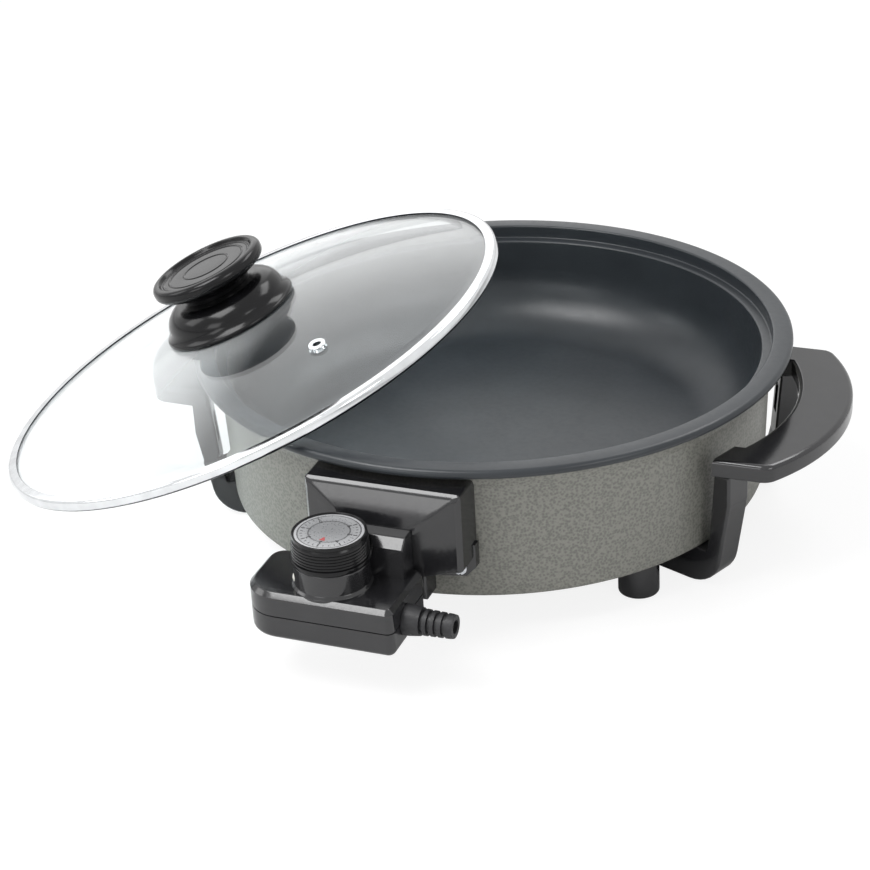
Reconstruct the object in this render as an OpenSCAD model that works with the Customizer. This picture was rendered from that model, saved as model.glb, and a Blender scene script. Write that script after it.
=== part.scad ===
// Round electric skillet with a glass lid that leans on its rim.
// The pan axis is Z, the table is z = 0, and the control plugs in on the -Y side.

/* [Pan] */
// Outer radius of the lip
lip_r = 165; // [150:1:175]
// Height of the casting from skirt edge to lip top
pan_h = 81; // [76:1:90]
// Clear height under the casting
under_gap = 22; // [19:1:25]
// Depth of the cooking space below the lip top
pan_depth = 60; // [52:1:62]
// Thickness of the lip
lip_t = 5; // [4:0.5:6]
// Width of the lip's top
lip_w = 11.3; // [9:0.1:13]
// Width of the ledge that seats the lid
ledge_w = 5.9; // [5:0.1:7]
// Wall thickness beside the lid's seat
rim_wall = 3.3; // [2.8:0.1:4]
// Height of the ledge below the lip top
ledge_drop = 7.7; // [6:0.1:9]
// Wall thickness under the ledge
wall_t = 5.2; // [4.5:0.1:6.5]
// How much smaller the wall is at its foot
wall_taper = 3; // [1:0.5:5]
// Floor thickness
floor_t = 5; // [4:0.5:6]
// Radius between wall and floor inside
cove_r = 35; // [25:1:40]
// Skirt thickness around the heater space
skirt_t = 4; // [3:0.5:5]
// Radius of the skirt's lower outer edge
skirt_edge_r = 2.5; // [1:0.5:3]

/* [Heater] */
// Radius of the heater ring
heater_r = 95; // [80:1:105]
// Radius of the heater tube
tube_r = 3.5; // [3:0.1:4]
// Bend radius where the ring turns out
turn_r = 12; // [10:1:16]
// Bend radius of the two risers
riser_r = 5.5; // [5:0.1:6]
// Distance of each live pin from the middle
pin_x = 12; // [11:0.5:13]
// Height of the pins and the probe
pin_z = 59; // [57:1:61]
// Radius of a live pin
pin_r = 2.2; // [2:0.1:2.5]
// Length of a live pin in front of its bush
pin_len = 8; // [6:0.5:9]
// Radius of a ceramic bush
bush_r = 4.2; // [4:0.1:4.4]
// Number of straps that hold the ring
clip_count = 3; // [3:1:5]
// Width of a strap
clip_w = 12; // [10:1:16]
// Sheet thickness of a strap
clip_t = 1.5; // [1:0.1:2]
// Length of each strap ear
clip_ear = 10; // [9:1:14]

/* [Grips and legs] */
// Reach of a grip beyond the lip
grip_reach = 34.5; // [28:0.5:40]
// Length of a grip
grip_len = 146; // [138:1:156]
// Thickness of a grip
grip_t = 9.8; // [8:0.1:12]
// Height of the lip top above the grip
grip_drop = 23.2; // [20:0.1:30]
// Curvature radius of a grip's outer edge
grip_arc_r = 118; // [110:1:150]
// Corner radius of a grip
grip_corner_r = 9; // [6:1:12]
// Finger space between wall and grip
finger_gap = 17; // [14:0.5:20]
// Curvature radius of a grip's inner edge
grip_inner_r = 110; // [95:1:130]
// Width of a leg
leg_w = 17; // [14:0.5:19]
// Thickness of a leg at its top
leg_t = 10; // [9.5:0.5:13]
// Distance of a leg's top from the pan wall
leg_gap = 6.5; // [5:0.5:8]
// Radius of a leg's lower outer bend
leg_bend_r = 20; // [14:1:24]
// How far a leg's foot runs in under the pan
leg_run = 31; // [28:1:34]
// Thickness of the web between leg and wall
web_t = 8; // [6:1:10]

/* [Round feet] */
// Radius of a round foot
foot_r = 11; // [10.5:0.5:12]
// Distance of a round foot's axis inside the skirt's outer edge
foot_inset = 16; // [14:0.5:18]
// Direction of a round foot from the grip axis
foot_angle = 37; // [36:1:50]
// How far round the pan the next round foot stands
foot_turn = 78; // [74:1:82]
// Radius of a foot pad
pad_r = 8.5; // [7:0.5:8.5]
// Height of a foot pad
pad_h = 3; // [2:0.5:4]

/* [Socket hood] */
// Width of the hood
hood_w = 84; // [76:1:90]
// Height of the lip top above the hood
hood_drop = 9.5; // [8:0.5:12]
// Height of the hood's block
hood_h = 44; // [40:1:46]
// How far the hood's block stands out from the wall
hood_depth = 16; // [15:0.5:18]
// Length of the tapered nose in front of the block
hood_nose = 6; // [5:0.5:8]
// Width of the nose at its front
nose_w = 39; // [37:1:42]
// Height of the nose above the pins
nose_up = 16; // [14:0.5:18]
// Height of the nose below the pins
nose_down = 14; // [13:0.5:15]
// Shell thickness of the hood
hood_t = 2.8; // [2:0.1:3.5]
// Drop of the wall flange below the block
flange_drop = 10; // [9:0.5:11]

/* [Control] */
// Length of the control box
box_len = 82; // [76:1:90]
// Overhang of the box right of the middle
box_right = 24; // [22:0.5:27]
// Height of the control box
box_h = 26; // [24:0.5:28]
// Height of the box's underside above the table
box_z = 28; // [26:0.5:30]
// Wall thickness of the control box
box_t = 3; // [2.5:0.1:3.5]
// Corner radius at the box's front left
box_corner_r = 18; // [12:1:20]
// Height of the dial's fixed collar
collar_h = 13; // [12:0.5:14]
// Wall thickness of the collar
collar_t = 3.5; // [3:0.1:4]
// Height of the neck's top above the pins
neck_up = 16; // [14:0.5:17]
// Length of the neck's right shoulder
shoulder_len = 13; // [11:0.5:16]
// Radius of the temperature probe
probe_r = 3; // [2.5:0.1:3.2]
// Radius of the strain relief
relief_r = 7; // [6:0.5:8]
// Length of the strain relief outside the box
relief_len = 26; // [22:1:32]
// Number of slots in the strain relief
relief_slots = 4; // [3:1:5]
// Radius of the cord opening
cord_r = 3.5; // [3:0.1:4]

/* [Dial] */
// Radius of the dial
dial_r = 20.3; // [18.5:0.1:21.5]
// Height of the dial
dial_h = 15; // [13:0.5:18]
// Distance of the dial left of the middle
dial_left = 15.5; // [14:0.5:17]
// Width of the dial's raised rim
dial_rim = 2.5; // [2:0.1:3.5]
// Radius of the dial spindle
spindle_r = 2.6; // [2.2:0.1:3]

/* [Lid] */
// Outer radius of the lid's steel band
lid_r = 152.5; // [150:0.1:153]
// Sheet thickness of the steel band
band_t = 0.9; // [0.6:0.1:1.2]
// Width of the band's folded edges
band_w = 6; // [5:0.5:7]
// Thickness of the glass
glass_t = 4; // [3.5:0.1:4.5]
// Rise of the glass dome above its rim
dome_h = 23.3; // [20:0.1:26]
// Lean of the lid from level
lid_lean = 21.8; // [20:0.1:23]
// Distance of the lid's middle from the pan axis
lid_offset = 137; // [134:0.5:139]
// Direction in which the lid leans out
lid_angle = 194.8; // [190:0.1:198]
// Radius of the vent eyelet's flange
vent_r = 5; // [4:0.1:6]
// Distance of the vent from the knob
vent_at = 94.5; // [80:0.5:110]
// Direction of the vent from the leaning side
vent_angle = 131; // [110:1:150]

/* [Lid knob] */
// Radius of the knob's base
knob_base_r = 38.5; // [34:0.5:41]
// Radius of the knob's top
knob_top_r = 33; // [29:0.5:36]
// Radius of the knob's neck
knob_neck_r = 20.5; // [18:0.5:22]
// Height of the knob's base
knob_base_h = 18; // [16:0.5:20]
// Height of the knob's cap
knob_cap_h = 16; // [14:0.5:18]
// Depth of the dish in the knob's top
knob_dish = 2; // [1:0.5:3]

/* [Hidden] */

$fn = 96;
fit = 0.05;      // clearance of a pin or shaft in its bore
slip = 0.3;      // clearance between pieces that pass or seat on each other
over = 1;        // overshoot of a cut past its face

// Screws: shank radius, head radius and head height
screw_r = 1.8;
head_r = 3.4;
head_h = 2;
head_gap = 0.4;  // clearance around a sunk head
screw_bite = 8;  // length of thread in a boss
boss_wall = 4;   // casting wall around a screw

// Pan
rim_z = under_gap + pan_h;
floor_z = rim_z - pan_depth;
under_z = floor_z - floor_t;
seat_r = lip_r - lip_w;
ledge_r = seat_r - ledge_w;
ledge_z = rim_z - ledge_drop;
wall_r = ledge_r + wall_t;
skirt_r = wall_r - wall_taper;
flare_r = seat_r + rim_wall;                     // wall's outside where it meets the lip
flare_z = ledge_z - 8;                           // height where the wall starts to flare
bead_r = lip_t / 2;
boss_z = under_gap + slip;                       // lower ends of the screw bosses

// Heater
tube_z = under_z - tube_r - slip / 2;
turn_x = pin_x + turn_r;
turn_y = sqrt(pow(heater_r + turn_r, 2) - turn_x * turn_x);
turn_a = atan2(turn_y, turn_x);
lead_gap = 1;                                    // clearance of a riser from the wall
riser_y = wall_r + lead_gap + tube_r - wall_taper / 2;
lead_end_y = riser_y + riser_r;
lap = 0.3;                                       // lap of a straight piece over a bend
clip_arc = tube_r + slip / 2;
ear_x = clip_arc + clip_t + clip_ear / 2;

// Hood: distances in front of the pan axis are positive here and placed on the -Y side
hood_y = wall_r + hood_depth;
nose_y = hood_y + hood_nose;
hood_top = rim_z - hood_drop;
hood_low = hood_top - hood_h;
part_y = lead_end_y + 1.5;                       // back of the partition that holds the pins
part_t = 2.5;
socket_y = part_y + part_t;                      // bottom of the socket
socket_w = nose_w - 2 * hood_t;
socket_up = nose_up - hood_t;
socket_down = nose_down - hood_t;
chin_w = 2 * (pin_x + tube_r + hood_t + 1);
chin_low = tube_z - tube_r - hood_t - 1;
chin_y = riser_y + tube_r + 1 + hood_t;
seat_boss_r = probe_r + 2.6;
seat_boss_y = part_y - 1;
probe_tip_y = wall_r - 1;
hood_screw_x = hood_w / 2 - 8;
hood_screw_z = hood_low - flange_drop / 2;
flange_t = 5;
hood_back = 14;                                  // how far the hood starts inside the wall
hood_bite = 6;                                   // thread length in the wall

// Grips and legs
grip_x = lip_r + grip_reach;
grip_z = rim_z - grip_drop;
grip_low = grip_z - grip_t;
grip_end = grip_len / 2;
grip_inner_x = wall_r + finger_gap;
leg_in_r = wall_r + leg_gap;
leg_out_r = leg_in_r + leg_t;
leg_angle = asin((grip_end - leg_w / 2) / leg_out_r);
leg_foot_r = skirt_r - leg_run;
leg_step = 3;                                    // inward lean of a leg's lower half
leg_screw_at = skirt_r - skirt_t - boss_wall - screw_r + over;
grip_screw_at = leg_in_r + 3;
grip_bite = grip_t - 2.5;                        // depth of a screw hole in a grip
grip_sink = 8;                                   // leg left above the grip screw's head
grip_pocket = grip_sink + grip_bite + head_h + 0.5;
web_low = 6;                                     // web's ends above the skirt's edge
web_high = 14;

// Round feet
foot_at = skirt_r - foot_inset;
boss_r = 8;
foot_sink = 6;                                   // foot left above the screw's head

// Control
neck_y = nose_y + slip;
neck_t = 2.5;
dial_gap = 0.6;
dial_y = neck_y + neck_t + dial_gap + dial_r;
box_y0 = neck_y;
box_y1 = dial_y + dial_r + 1;
box_x0 = box_right - box_len;
box_top = box_z + box_h;
seam_z = box_z + box_h / 2;
in_low = box_z + box_t;
in_top = box_top - box_t;
collar_r = dial_r - 1;
collar_in = collar_r - collar_t;
collar_top = box_top + collar_h;
collar_cap = 2;
dial_z = collar_top + 0.5;
dial_top = dial_z + dial_h;
neck_w = nose_w - 2;
neck_top = pin_z + neck_up;
shoulder_y = neck_y + shoulder_len;
relief_y = (box_y0 + box_y1) / 2 + 4;
relief_z = seam_z - 1;
relief_neck_r = cord_r + 1.6;
frame_z = seam_z + 4.5;
frame_t = 1.5;
post_r = 3.6;
plug_y = socket_y + 0.5;
plug_w = socket_w - 1;
plug_up = socket_up - 0.5;
plug_down = socket_down - 0.5;
probe_end_y = neck_y + 7;
receptacle_r = pin_r + 1.2;
post_at = [
    [box_x0 + 12, dial_y + 1],
    [box_right - 9, box_y1 - box_t - post_r],
    [box_right - 9, box_y0 + box_t + post_r]
];

// Contact arm, spindle and lamp
arm_pivot_y = dial_y - 11.5;
arm_end_y = dial_y + 7;
arm_w = 7;
arm_t = 1.5;
arm_z = box_top - 1.8;
arm_pin_r = 1;
ear_t = 1.5;
bush_flange_r = 6.5;
bush_out_r = 4.5;
spindle_low = arm_z + arm_t / 2 + slip;
lamp_angle = 210;
lamp_r = 2;
lamp_at = collar_in - lamp_r - 0.5;
lens_r = 2.2;
lens_z = box_top + 4.5;

// Lid, in its own frame: Z is the knob axis and z = 0 the band's lower edge
glass_r = lid_r - band_t - 0.4;
glass_rim_z = band_t + slip;
flat_w = band_w + 2;                             // level rim of the glass under the band
dome_r0 = lid_r - flat_w;
sphere_r = (dome_r0 * dome_r0 + dome_h * dome_h) / (2 * dome_h);
dome_top = glass_rim_z + glass_t + dome_h;
sphere_z = dome_top - sphere_r;
inner_sphere_r = sphere_r - glass_t;
dome_low = dome_top - glass_t;
inner_r0 = sqrt(pow(inner_sphere_r, 2) - pow(glass_rim_z - sphere_z, 2));
hole_r = 4;
vent_tube_r = vent_r - 1.8;
// The dome rests on the lip's bead: the sphere's middle is one radius from the bead's middle
reach = inner_sphere_r - bead_r - slip;
bead_x = lip_r - bead_r;
sphere_x = lid_offset + sphere_z * sin(lid_lean);
sphere_h = rim_z - bead_r - sqrt(reach * reach - pow(bead_x - sphere_x, 2));
lid_z = sphere_h - sphere_z * cos(lid_lean);

// Lid knob
knob_z = dome_top - knob_base_r * knob_base_r / (2 * sphere_r) + slip;
neck_knob_z = knob_z + knob_base_h;
cap_top = neck_knob_z + knob_cap_h;
insert_r = 4;
knob_screw_r = 2.4;
washer_t = 1.5;
washer_r = 9;

// ---- helpers ----

function unit(v) = v / norm(v);

// Points of an arc around c from angle a0 to a1
function arc(c, r, a0, a1, n = 8) =
    [for (i = [0:n]) c + r * [cos(a0 + (a1 - a0) * i / n), sin(a0 + (a1 - a0) * i / n)]];

// Turn from angle a to angle b the short way round
function turn(a, b) = b - a > 180 ? b - a - 360 : b - a < -180 ? b - a + 360 : b - a;

// Points that round the corner p between its neighbours a and b
function fillet(a, p, b, r, n = 6) =
    let (
        u = unit(a - p),
        v = unit(b - p),
        half = acos(u * v) / 2,
        c = p + unit(u + v) * r / sin(half),
        s = p + u * r / tan(half) - c,
        e = p + v * r / tan(half) - c,
        a0 = atan2(s[1], s[0])
    )
    arc(c, r, a0, a0 + turn(a0, atan2(e[1], e[0])), n);

// Outline with each corner p[i] rounded by r[i]
function rounded(p, r) =
    let (n = len(p))
    [for (i = [0:n - 1]) each fillet(p[(i + n - 1) % n], p[i], p[(i + 1) % n], r[i])];

module tube(ro, ri, z0, z1) {
    difference() {
        translate([0, 0, z0]) cylinder(h = z1 - z0, r = ro);
        translate([0, 0, z0 - over]) cylinder(h = z1 - z0 + 2 * over, r = ri);
    }
}

module rod(r, z0, z1) {
    translate([0, 0, z0]) cylinder(h = z1 - z0, r = r);
}

// Rod along Y, from y0 to y1 in front of the pan axis
module rod_y(x, z, r, y0, y1) {
    translate([x, -y0, z]) rotate([90, 0, 0]) cylinder(h = y1 - y0, r = r);
}

// Box with x0..x1, y0..y1 in front of the pan axis, and z0..z1
module block(x0, x1, y0, y1, z0, z1) {
    translate([x0, -y1, z0]) cube([x1 - x0, y1 - y0, z1 - z0]);
}

// Radius of the pan wall's outside at a height below its flare
function wall_at(z) = skirt_r + wall_taper * (z - under_gap - skirt_edge_r)
    / (rim_z - lip_t - under_gap - skirt_edge_r);

// The pan wall's outside, grown by a clearance
module wall_space(gap = slip) {
    rotate_extrude() polygon([
        [0, under_gap], [skirt_r + gap, under_gap], [wall_at(flare_z) + gap, flare_z - 1],
        [flare_r + 1.3 * gap, rim_z - lip_t], [0, rim_z - lip_t]
    ]);
}

// Screw standing on z = 0 with its head below: shank reaches up to len
module screw(len, r = screw_r) {
    rod(r, 0, len);
    difference() {
        rod(head_r, -head_h, 0);
        translate([-0.5, -head_r, -head_h - over]) cube([1, 2 * head_r, over + 0.8]);
    }
}

// Places children at both live pins
module at_pins() {
    for (s = [-1, 1]) translate([s * pin_x, 0, 0]) children();
}

// Places children on each strap ear
module at_ears() {
    for (i = [0:clip_count - 1], s = [-1, 1])
        rotate([0, 0, 90 + i * 360 / clip_count]) translate([heater_r + s * ear_x, 0, 0])
            children();
}

// Places children at each round foot
module at_feet() {
    for (a = [-foot_angle, 180 - foot_angle], b = [0, foot_turn])
        rotate([0, 0, a - b]) translate([foot_at, 0, 0]) children();
}

// Places children on all four legs, at a distance from the pan axis
module at_legs(r) {
    for (a = [leg_angle, 180 - leg_angle, 180 + leg_angle, -leg_angle])
        rotate([0, 0, a]) translate([r, 0, 0]) children();
}

// ---- pan ----

module pan() {
    color("#3a3d42") difference() {
        union() {
            rotate_extrude() polygon(concat(
                [[0, under_z], [skirt_r - skirt_t, under_z], [skirt_r - skirt_t, under_gap]],
                arc([skirt_r - skirt_edge_r, under_gap + skirt_edge_r], skirt_edge_r, -90, 0, 4),
                [[wall_at(flare_z), flare_z], [flare_r, rim_z - lip_t]],
                arc([lip_r - bead_r, rim_z - bead_r], bead_r, -90, 90, 12),
                [[seat_r, rim_z], [seat_r, ledge_z], [ledge_r, ledge_z]],
                arc([ledge_r - cove_r, floor_z + cove_r], cove_r, 0, -90, 16),
                [[0, floor_z]]
            ));
            at_feet() rod(boss_r, boss_z, under_z + over);
            at_legs(leg_screw_at) rod(boss_wall + screw_r, boss_z, under_z + over);
            rod_y(0, pin_z, seat_boss_r, ledge_r + 1, seat_boss_y);
        }
        at_feet() rod(screw_r + fit, under_gap - over, under_gap + screw_bite + 1);
        at_legs(leg_screw_at) rod(screw_r + fit, under_gap - over, under_gap + screw_bite + 1);
        at_ears() rod(screw_r + fit, under_z - over, under_z + floor_t - 1.5);
        at_pins() rod_y(0, tube_z, tube_r + 0.8, skirt_r - skirt_t - 8, wall_r + over);
        rod_y(0, pin_z, probe_r + fit, probe_tip_y - 0.5, seat_boss_y + over);
        at_hood_screws() rod_y(0, 0, screw_r + fit, wall_r - hood_bite - 1, wall_r + over);
    }
}

// Bent piece of the heater tube around Z, from the X axis on
module bend(r, angle) {
    rotate_extrude(angle = angle) translate([r, 0]) circle(r = tube_r, $fn = 32);
}

// One side of the heater: turn, straight, elbow, riser and elbow. Each straight piece laps
// over the bent ones at its ends.
module element_half() {
    lap_r = tube_r + fit;
    riser_top = pin_z - tube_z - riser_r;
    rotate([0, 0, -turn_a]) translate([heater_r, 0, 0]) rotate([90, 0, 0]) rod(lap_r, -lap, lap);
    translate([turn_x, -turn_y, 0]) rotate([0, 0, 180 - turn_a]) bend(turn_r, turn_a);
    rod_y(pin_x, 0, lap_r, turn_y - lap, riser_y - riser_r + lap);
    translate([pin_x, -(riser_y - riser_r), riser_r]) rotate([90, 0, 90]) rotate([0, 0, 180])
        bend(riser_r, 90);
    translate([pin_x, -riser_y, 0]) rod(lap_r, riser_r - lap, riser_top + lap);
    translate([pin_x, -lead_end_y, riser_top]) rotate([90, 0, 90]) bend(riser_r, 90);
}

module heating_element() {
    color("#6b6f73") translate([0, 0, tube_z]) {
        rotate([0, 0, -turn_a]) bend(heater_r, 180 + 2 * turn_a);
        element_half();
        mirror([1, 0, 0]) element_half();
    }
}

// Saddle strap: a half tube under the heater with an ear on each side
module element_clips() {
    low = tube_z - clip_arc - clip_t;
    color("#b9bcc0") difference() {
        for (i = [0:clip_count - 1]) rotate([0, 0, 90 + i * 360 / clip_count])
            translate([heater_r, 0, 0]) {
                for (s = [-1, 1]) translate([s * ear_x - clip_ear / 2, -clip_w / 2, under_z - clip_t])
                    cube([clip_ear, clip_w, clip_t]);
                difference() {
                    translate([-clip_arc - clip_t, -clip_w / 2, low])
                        cube([2 * (clip_arc + clip_t), clip_w, under_z - low]);
                    translate([-clip_arc, -clip_w / 2 - over, low + clip_t])
                        cube([2 * clip_arc, clip_w + 2 * over, under_z - low]);
                }
            }
        at_ears() rod(screw_r + fit, 0, under_z + over);
    }
}

module clip_screws() {
    color("#d0d2d4") at_ears() translate([0, 0, under_z - clip_t]) screw(clip_t + floor_t - 2);
}

module terminal_pins() {
    color("#c9ccd0") at_pins()
        rod_y(0, pin_z, pin_r, lead_end_y, socket_y + pin_len);
}

module pin_bushes() {
    color("#ece8dd") at_pins() difference() {
        union() {
            rod_y(0, pin_z, bush_r, lead_end_y, socket_y + 0.2);
            rod_y(0, pin_z, bush_r + 1, lead_end_y + 0.2, part_y);
        }
        rod_y(0, pin_z, pin_r + fit, lead_end_y - over, socket_y + 2);
    }
}

// ---- socket hood ----

module at_hood_screws() {
    for (s = [-1, 1]) rotate([0, 0, s * asin(hood_screw_x / wall_r)])
        translate([0, 0, hood_screw_z]) children();
}

// Cuts the block to the hood's tapered plan and side outline
module hood_form() {
    edge = 2;
    intersection() {
        translate([0, 0, hood_low - over - nose_down]) linear_extrude(hood_h + 40)
            polygon([
                [-hood_w / 2, -wall_r + hood_back], [-hood_w / 2, -hood_y], [-nose_w / 2, -nose_y],
                [nose_w / 2, -nose_y], [hood_w / 2, -hood_y], [hood_w / 2, -wall_r + hood_back]
            ]);
        translate([-hood_w, 0, 0]) rotate([90, 0, 90]) linear_extrude(2 * hood_w)
            polygon(concat(
                [[-wall_r + hood_back, hood_top]],
                fillet([-wall_r, hood_top], [-hood_y, hood_top], [-nose_y, pin_z + nose_up], edge),
                [[-nose_y, pin_z + nose_up], [-nose_y, hood_low], [-wall_r + hood_back, hood_low]]
            ));
    }
    block(-nose_w / 2, nose_w / 2, part_y, nose_y, pin_z - nose_down, hood_low + over);
}

module socket_hood() {
    in_w = hood_w - 2 * hood_t;
    color("#17181a") difference() {
        union() {
            hood_form();
            intersection() {
                block(-hood_w / 2 - 1, hood_w / 2 + 1, 0, wall_r + flange_t, hood_low - flange_drop,
                    hood_top);
                difference() {
                    rod(wall_r + flange_t, 0, rim_z);
                    rod(wall_r - hood_back, -over, rim_z + over);
                }
            }
            block(-chin_w / 2, chin_w / 2, wall_r - hood_back, chin_y, chin_low, hood_low + over);
        }
        wall_space();
        block(-in_w / 2, in_w / 2, 0, part_y, hood_low + hood_t, hood_top - hood_t);
        block(-chin_w / 2 + hood_t, chin_w / 2 - hood_t, 0, chin_y - hood_t, chin_low + hood_t,
            hood_top - hood_t);
        block(-socket_w / 2, socket_w / 2, socket_y, nose_y + over, pin_z - socket_down,
            pin_z + socket_up);
        at_hood_screws() rod_y(0, 0, screw_r + fit, 0, wall_r + flange_t + over);
        at_pins() rod_y(0, pin_z, bush_r + fit, part_y - over, socket_y + over);
        rod_y(0, pin_z, probe_r + 1, part_y - over, socket_y + over);
    }
}

module hood_screws() {
    color("#c9ccd0") at_hood_screws()
        translate([0, -wall_r - flange_t, 0]) rotate([-90, 0, 0]) screw(flange_t + hood_bite);
}

// ---- grips and legs ----

// Corner of a rear right leg's inner face, on one of its sides
function leg_corner(side) = [
    leg_in_r * cos(leg_angle) - side * leg_w / 2 * sin(leg_angle),
    leg_in_r * sin(leg_angle) + side * leg_w / 2 * cos(leg_angle)
];

function grip_outline() =
    let (
        cx = grip_x - grip_arc_r,
        fy = grip_end - grip_corner_r,
        fx = cx + sqrt(pow(grip_arc_r - grip_corner_r, 2) - fy * fy),
        fa = atan2(fy, fx - cx),
        back = leg_corner(1),
        near = leg_corner(-1),
        ix = grip_inner_x - grip_inner_r,
        ia = asin(near[1] / grip_inner_r)
    )
    concat(
        [[back[0], -grip_end]],
        arc([fx, -fy], grip_corner_r, -90, -fa, 6),
        arc([cx, 0], grip_arc_r, -fa, fa, 24),
        arc([fx, fy], grip_corner_r, fa, 90, 6),
        [[back[0], grip_end], back, near],
        arc([ix, 0], grip_inner_r, ia, -ia, 24),
        [[near[0], -near[1]], [back[0], -back[1]]]
    );

module grip() {
    color("#1b1b1d") difference() {
        translate([0, 0, grip_low]) linear_extrude(grip_t) polygon(grip_outline());
        for (s = [-1, 1]) rotate([0, 0, s * leg_angle]) translate([grip_screw_at, 0, 0])
            rod(screw_r + fit, grip_low - over, grip_low + grip_bite);
    }
}

// Front right leg: down outside the wall, then in under the skirt. A pocket on its inner
// side takes the grip's screw.
module leg() {
    low = under_gap;
    foot_low = 0.8;
    in_r = leg_in_r - leg_step;
    knee = grip_low * 0.75;                      // height where the outer side starts to lean
    pocket_w = head_r + head_gap;
    pocket_top = grip_low - grip_sink;
    color("#1b1b1d") rotate([0, 0, -leg_angle]) difference() {
        union() {
            translate([0, leg_w / 2, 0]) rotate([90, 0, 0]) linear_extrude(leg_w)
                polygon(concat(
                    [[leg_in_r, grip_low], [in_r, low + 9], [in_r - 2, low]],
                    [[leg_foot_r, low], [leg_foot_r, foot_low]],
                    fillet([leg_foot_r, foot_low], [leg_out_r - leg_step * 3, foot_low],
                        [leg_out_r, knee], leg_bend_r, 8),
                    [[leg_out_r, knee], [leg_out_r, grip_low]]
                ));
            block(skirt_r - 5, leg_in_r, -web_t / 2, web_t / 2, low + web_low, low + web_high);
        }
        wall_space();
        translate([leg_screw_at, 0, 0]) {
            rod(screw_r + fit, -over, low + over);
            rod(head_r + head_gap, -over, low / 2);
        }
        translate([grip_screw_at, 0, 0]) {
            rod(screw_r + fit, pocket_top - over, grip_z);
            rod(pocket_w, pocket_top - grip_pocket, pocket_top);
        }
        block(leg_in_r - 6, grip_screw_at, -pocket_w, pocket_w, pocket_top - grip_pocket,
            pocket_top);
    }
}

module handle_right() {
    grip();
}

module handle_left() {
    mirror([1, 0, 0]) grip();
}

module leg_front_right() {
    leg();
}

module leg_rear_right() {
    mirror([0, 1, 0]) leg();
}

module leg_front_left() {
    mirror([1, 0, 0]) leg();
}

module leg_rear_left() {
    rotate([0, 0, 180]) leg();
}

module handle_screws() {
    color("#c9ccd0") at_legs(grip_screw_at) translate([0, 0, grip_low - grip_sink])
        screw(grip_sink + grip_bite - 0.5);
}

module leg_screws() {
    color("#c9ccd0") at_legs(leg_screw_at) translate([0, 0, under_gap / 2])
        screw(under_gap / 2 + screw_bite);
}

// ---- round feet ----

module round_feet() {
    color("#1b1b1d") at_feet() difference() {
        rod(foot_r, 1, under_gap);
        rod(pad_r + fit, 0, pad_h);
        rod(head_r + head_gap, 0, under_gap - foot_sink);
        rod(screw_r + fit, 0, under_gap + over);
    }
}

module foot_screws() {
    color("#c9ccd0") at_feet() translate([0, 0, under_gap - foot_sink]) screw(foot_sink + screw_bite);
}

module foot_pads() {
    color("#2a2a2a") at_feet() rod(pad_r, 0, pad_h);
}

// ---- control ----

// Plan of the control box, moved inwards by an inset
function box_outline(inset = 0) = rounded(
    [
        [box_right - inset, -box_y1 + inset], [box_right - inset, -box_y0 - inset],
        [box_x0 + inset, -box_y0 - inset], [box_x0 + inset, -box_y1 + inset]
    ],
    [4 - inset * 0.8, 4 - inset * 0.8, 9 - inset, box_corner_r - inset]
);

module at_dial() {
    translate([-dial_left, -dial_y, 0]) children();
}

module at_arm_pin() {
    translate([-dial_left, -arm_pivot_y, arm_z]) rotate([0, 90, 0]) children();
}

module at_posts() {
    for (p = post_at) translate([p[0], -p[1], 0]) children();
}

module at_lamp(r) {
    at_dial() rotate([0, 0, lamp_angle]) translate([r, 0, 0]) children();
}

// Turns Z onto the line from the dial's axis through the lens
module at_lens() {
    at_lamp(0) translate([0, 0, lens_z]) rotate([0, 90, 0]) children();
}

module relief_axis() {
    translate([0, -relief_y, relief_z]) rotate([0, 90, 0]) children();
}

// Lower half of the box, or the upper one, as a plain shell with an open seam
module box_shell(z0, z1, in0, in1) {
    difference() {
        translate([0, 0, z0]) linear_extrude(z1 - z0) polygon(box_outline());
        translate([0, 0, in0]) linear_extrude(in1 - in0) polygon(box_outline(box_t));
    }
}

module control_bottom() {
    color("#1b1b1d") difference() {
        union() {
            box_shell(box_z, seam_z, in_low, seam_z + over);
            at_posts() rod(post_r, in_low - 0.5, frame_z);
        }
        at_posts() {
            rod(screw_r + fit, 0, frame_z + over);
            rod(head_r + fit * 2, 0, in_low + 2);
        }
        relief_axis() rod(relief_neck_r + fit, box_right - box_t - over, box_right + over);
    }
}

module control_top() {
    color("#1b1b1d") difference() {
        union() {
            box_shell(seam_z, box_top, seam_z - over, in_top);
            at_posts() rod(post_r, frame_z + frame_t, in_top + 0.5);
            at_dial() rod(collar_r, box_top - 0.5, collar_top);
            block(-neck_w / 2, neck_w / 2, neck_y, shoulder_y, in_top + 0.5, neck_top);
        }
        at_posts() rod(screw_r + fit, seam_z, in_top);
        at_dial() rod(collar_in, in_top - over, collar_top - collar_cap);
        at_dial() rod(bush_out_r + fit, in_top, collar_top + over);
        at_dial() rod(dial_r + dial_gap, collar_top, dial_top);
        block(-neck_w / 2 + neck_t, neck_w / 2 - neck_t, neck_y + neck_t, shoulder_y - neck_t,
            in_top - over, collar_top - collar_cap);
        rod_y(0, pin_z, probe_r + fit, neck_y - over, neck_y + neck_t + over);
        at_pins() rod_y(0, pin_z, receptacle_r + fit, neck_y - over, neck_y + neck_t + over);
        at_lens() rod(lens_r + fit, lamp_at, collar_r + over);
        relief_axis() rod(relief_neck_r + fit, box_right - box_t - over, box_right + over);
    }
}

module control_screws() {
    color("#c9ccd0") at_posts() translate([0, 0, in_low + 2])
        screw(in_top - in_low - 3);
}

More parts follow.
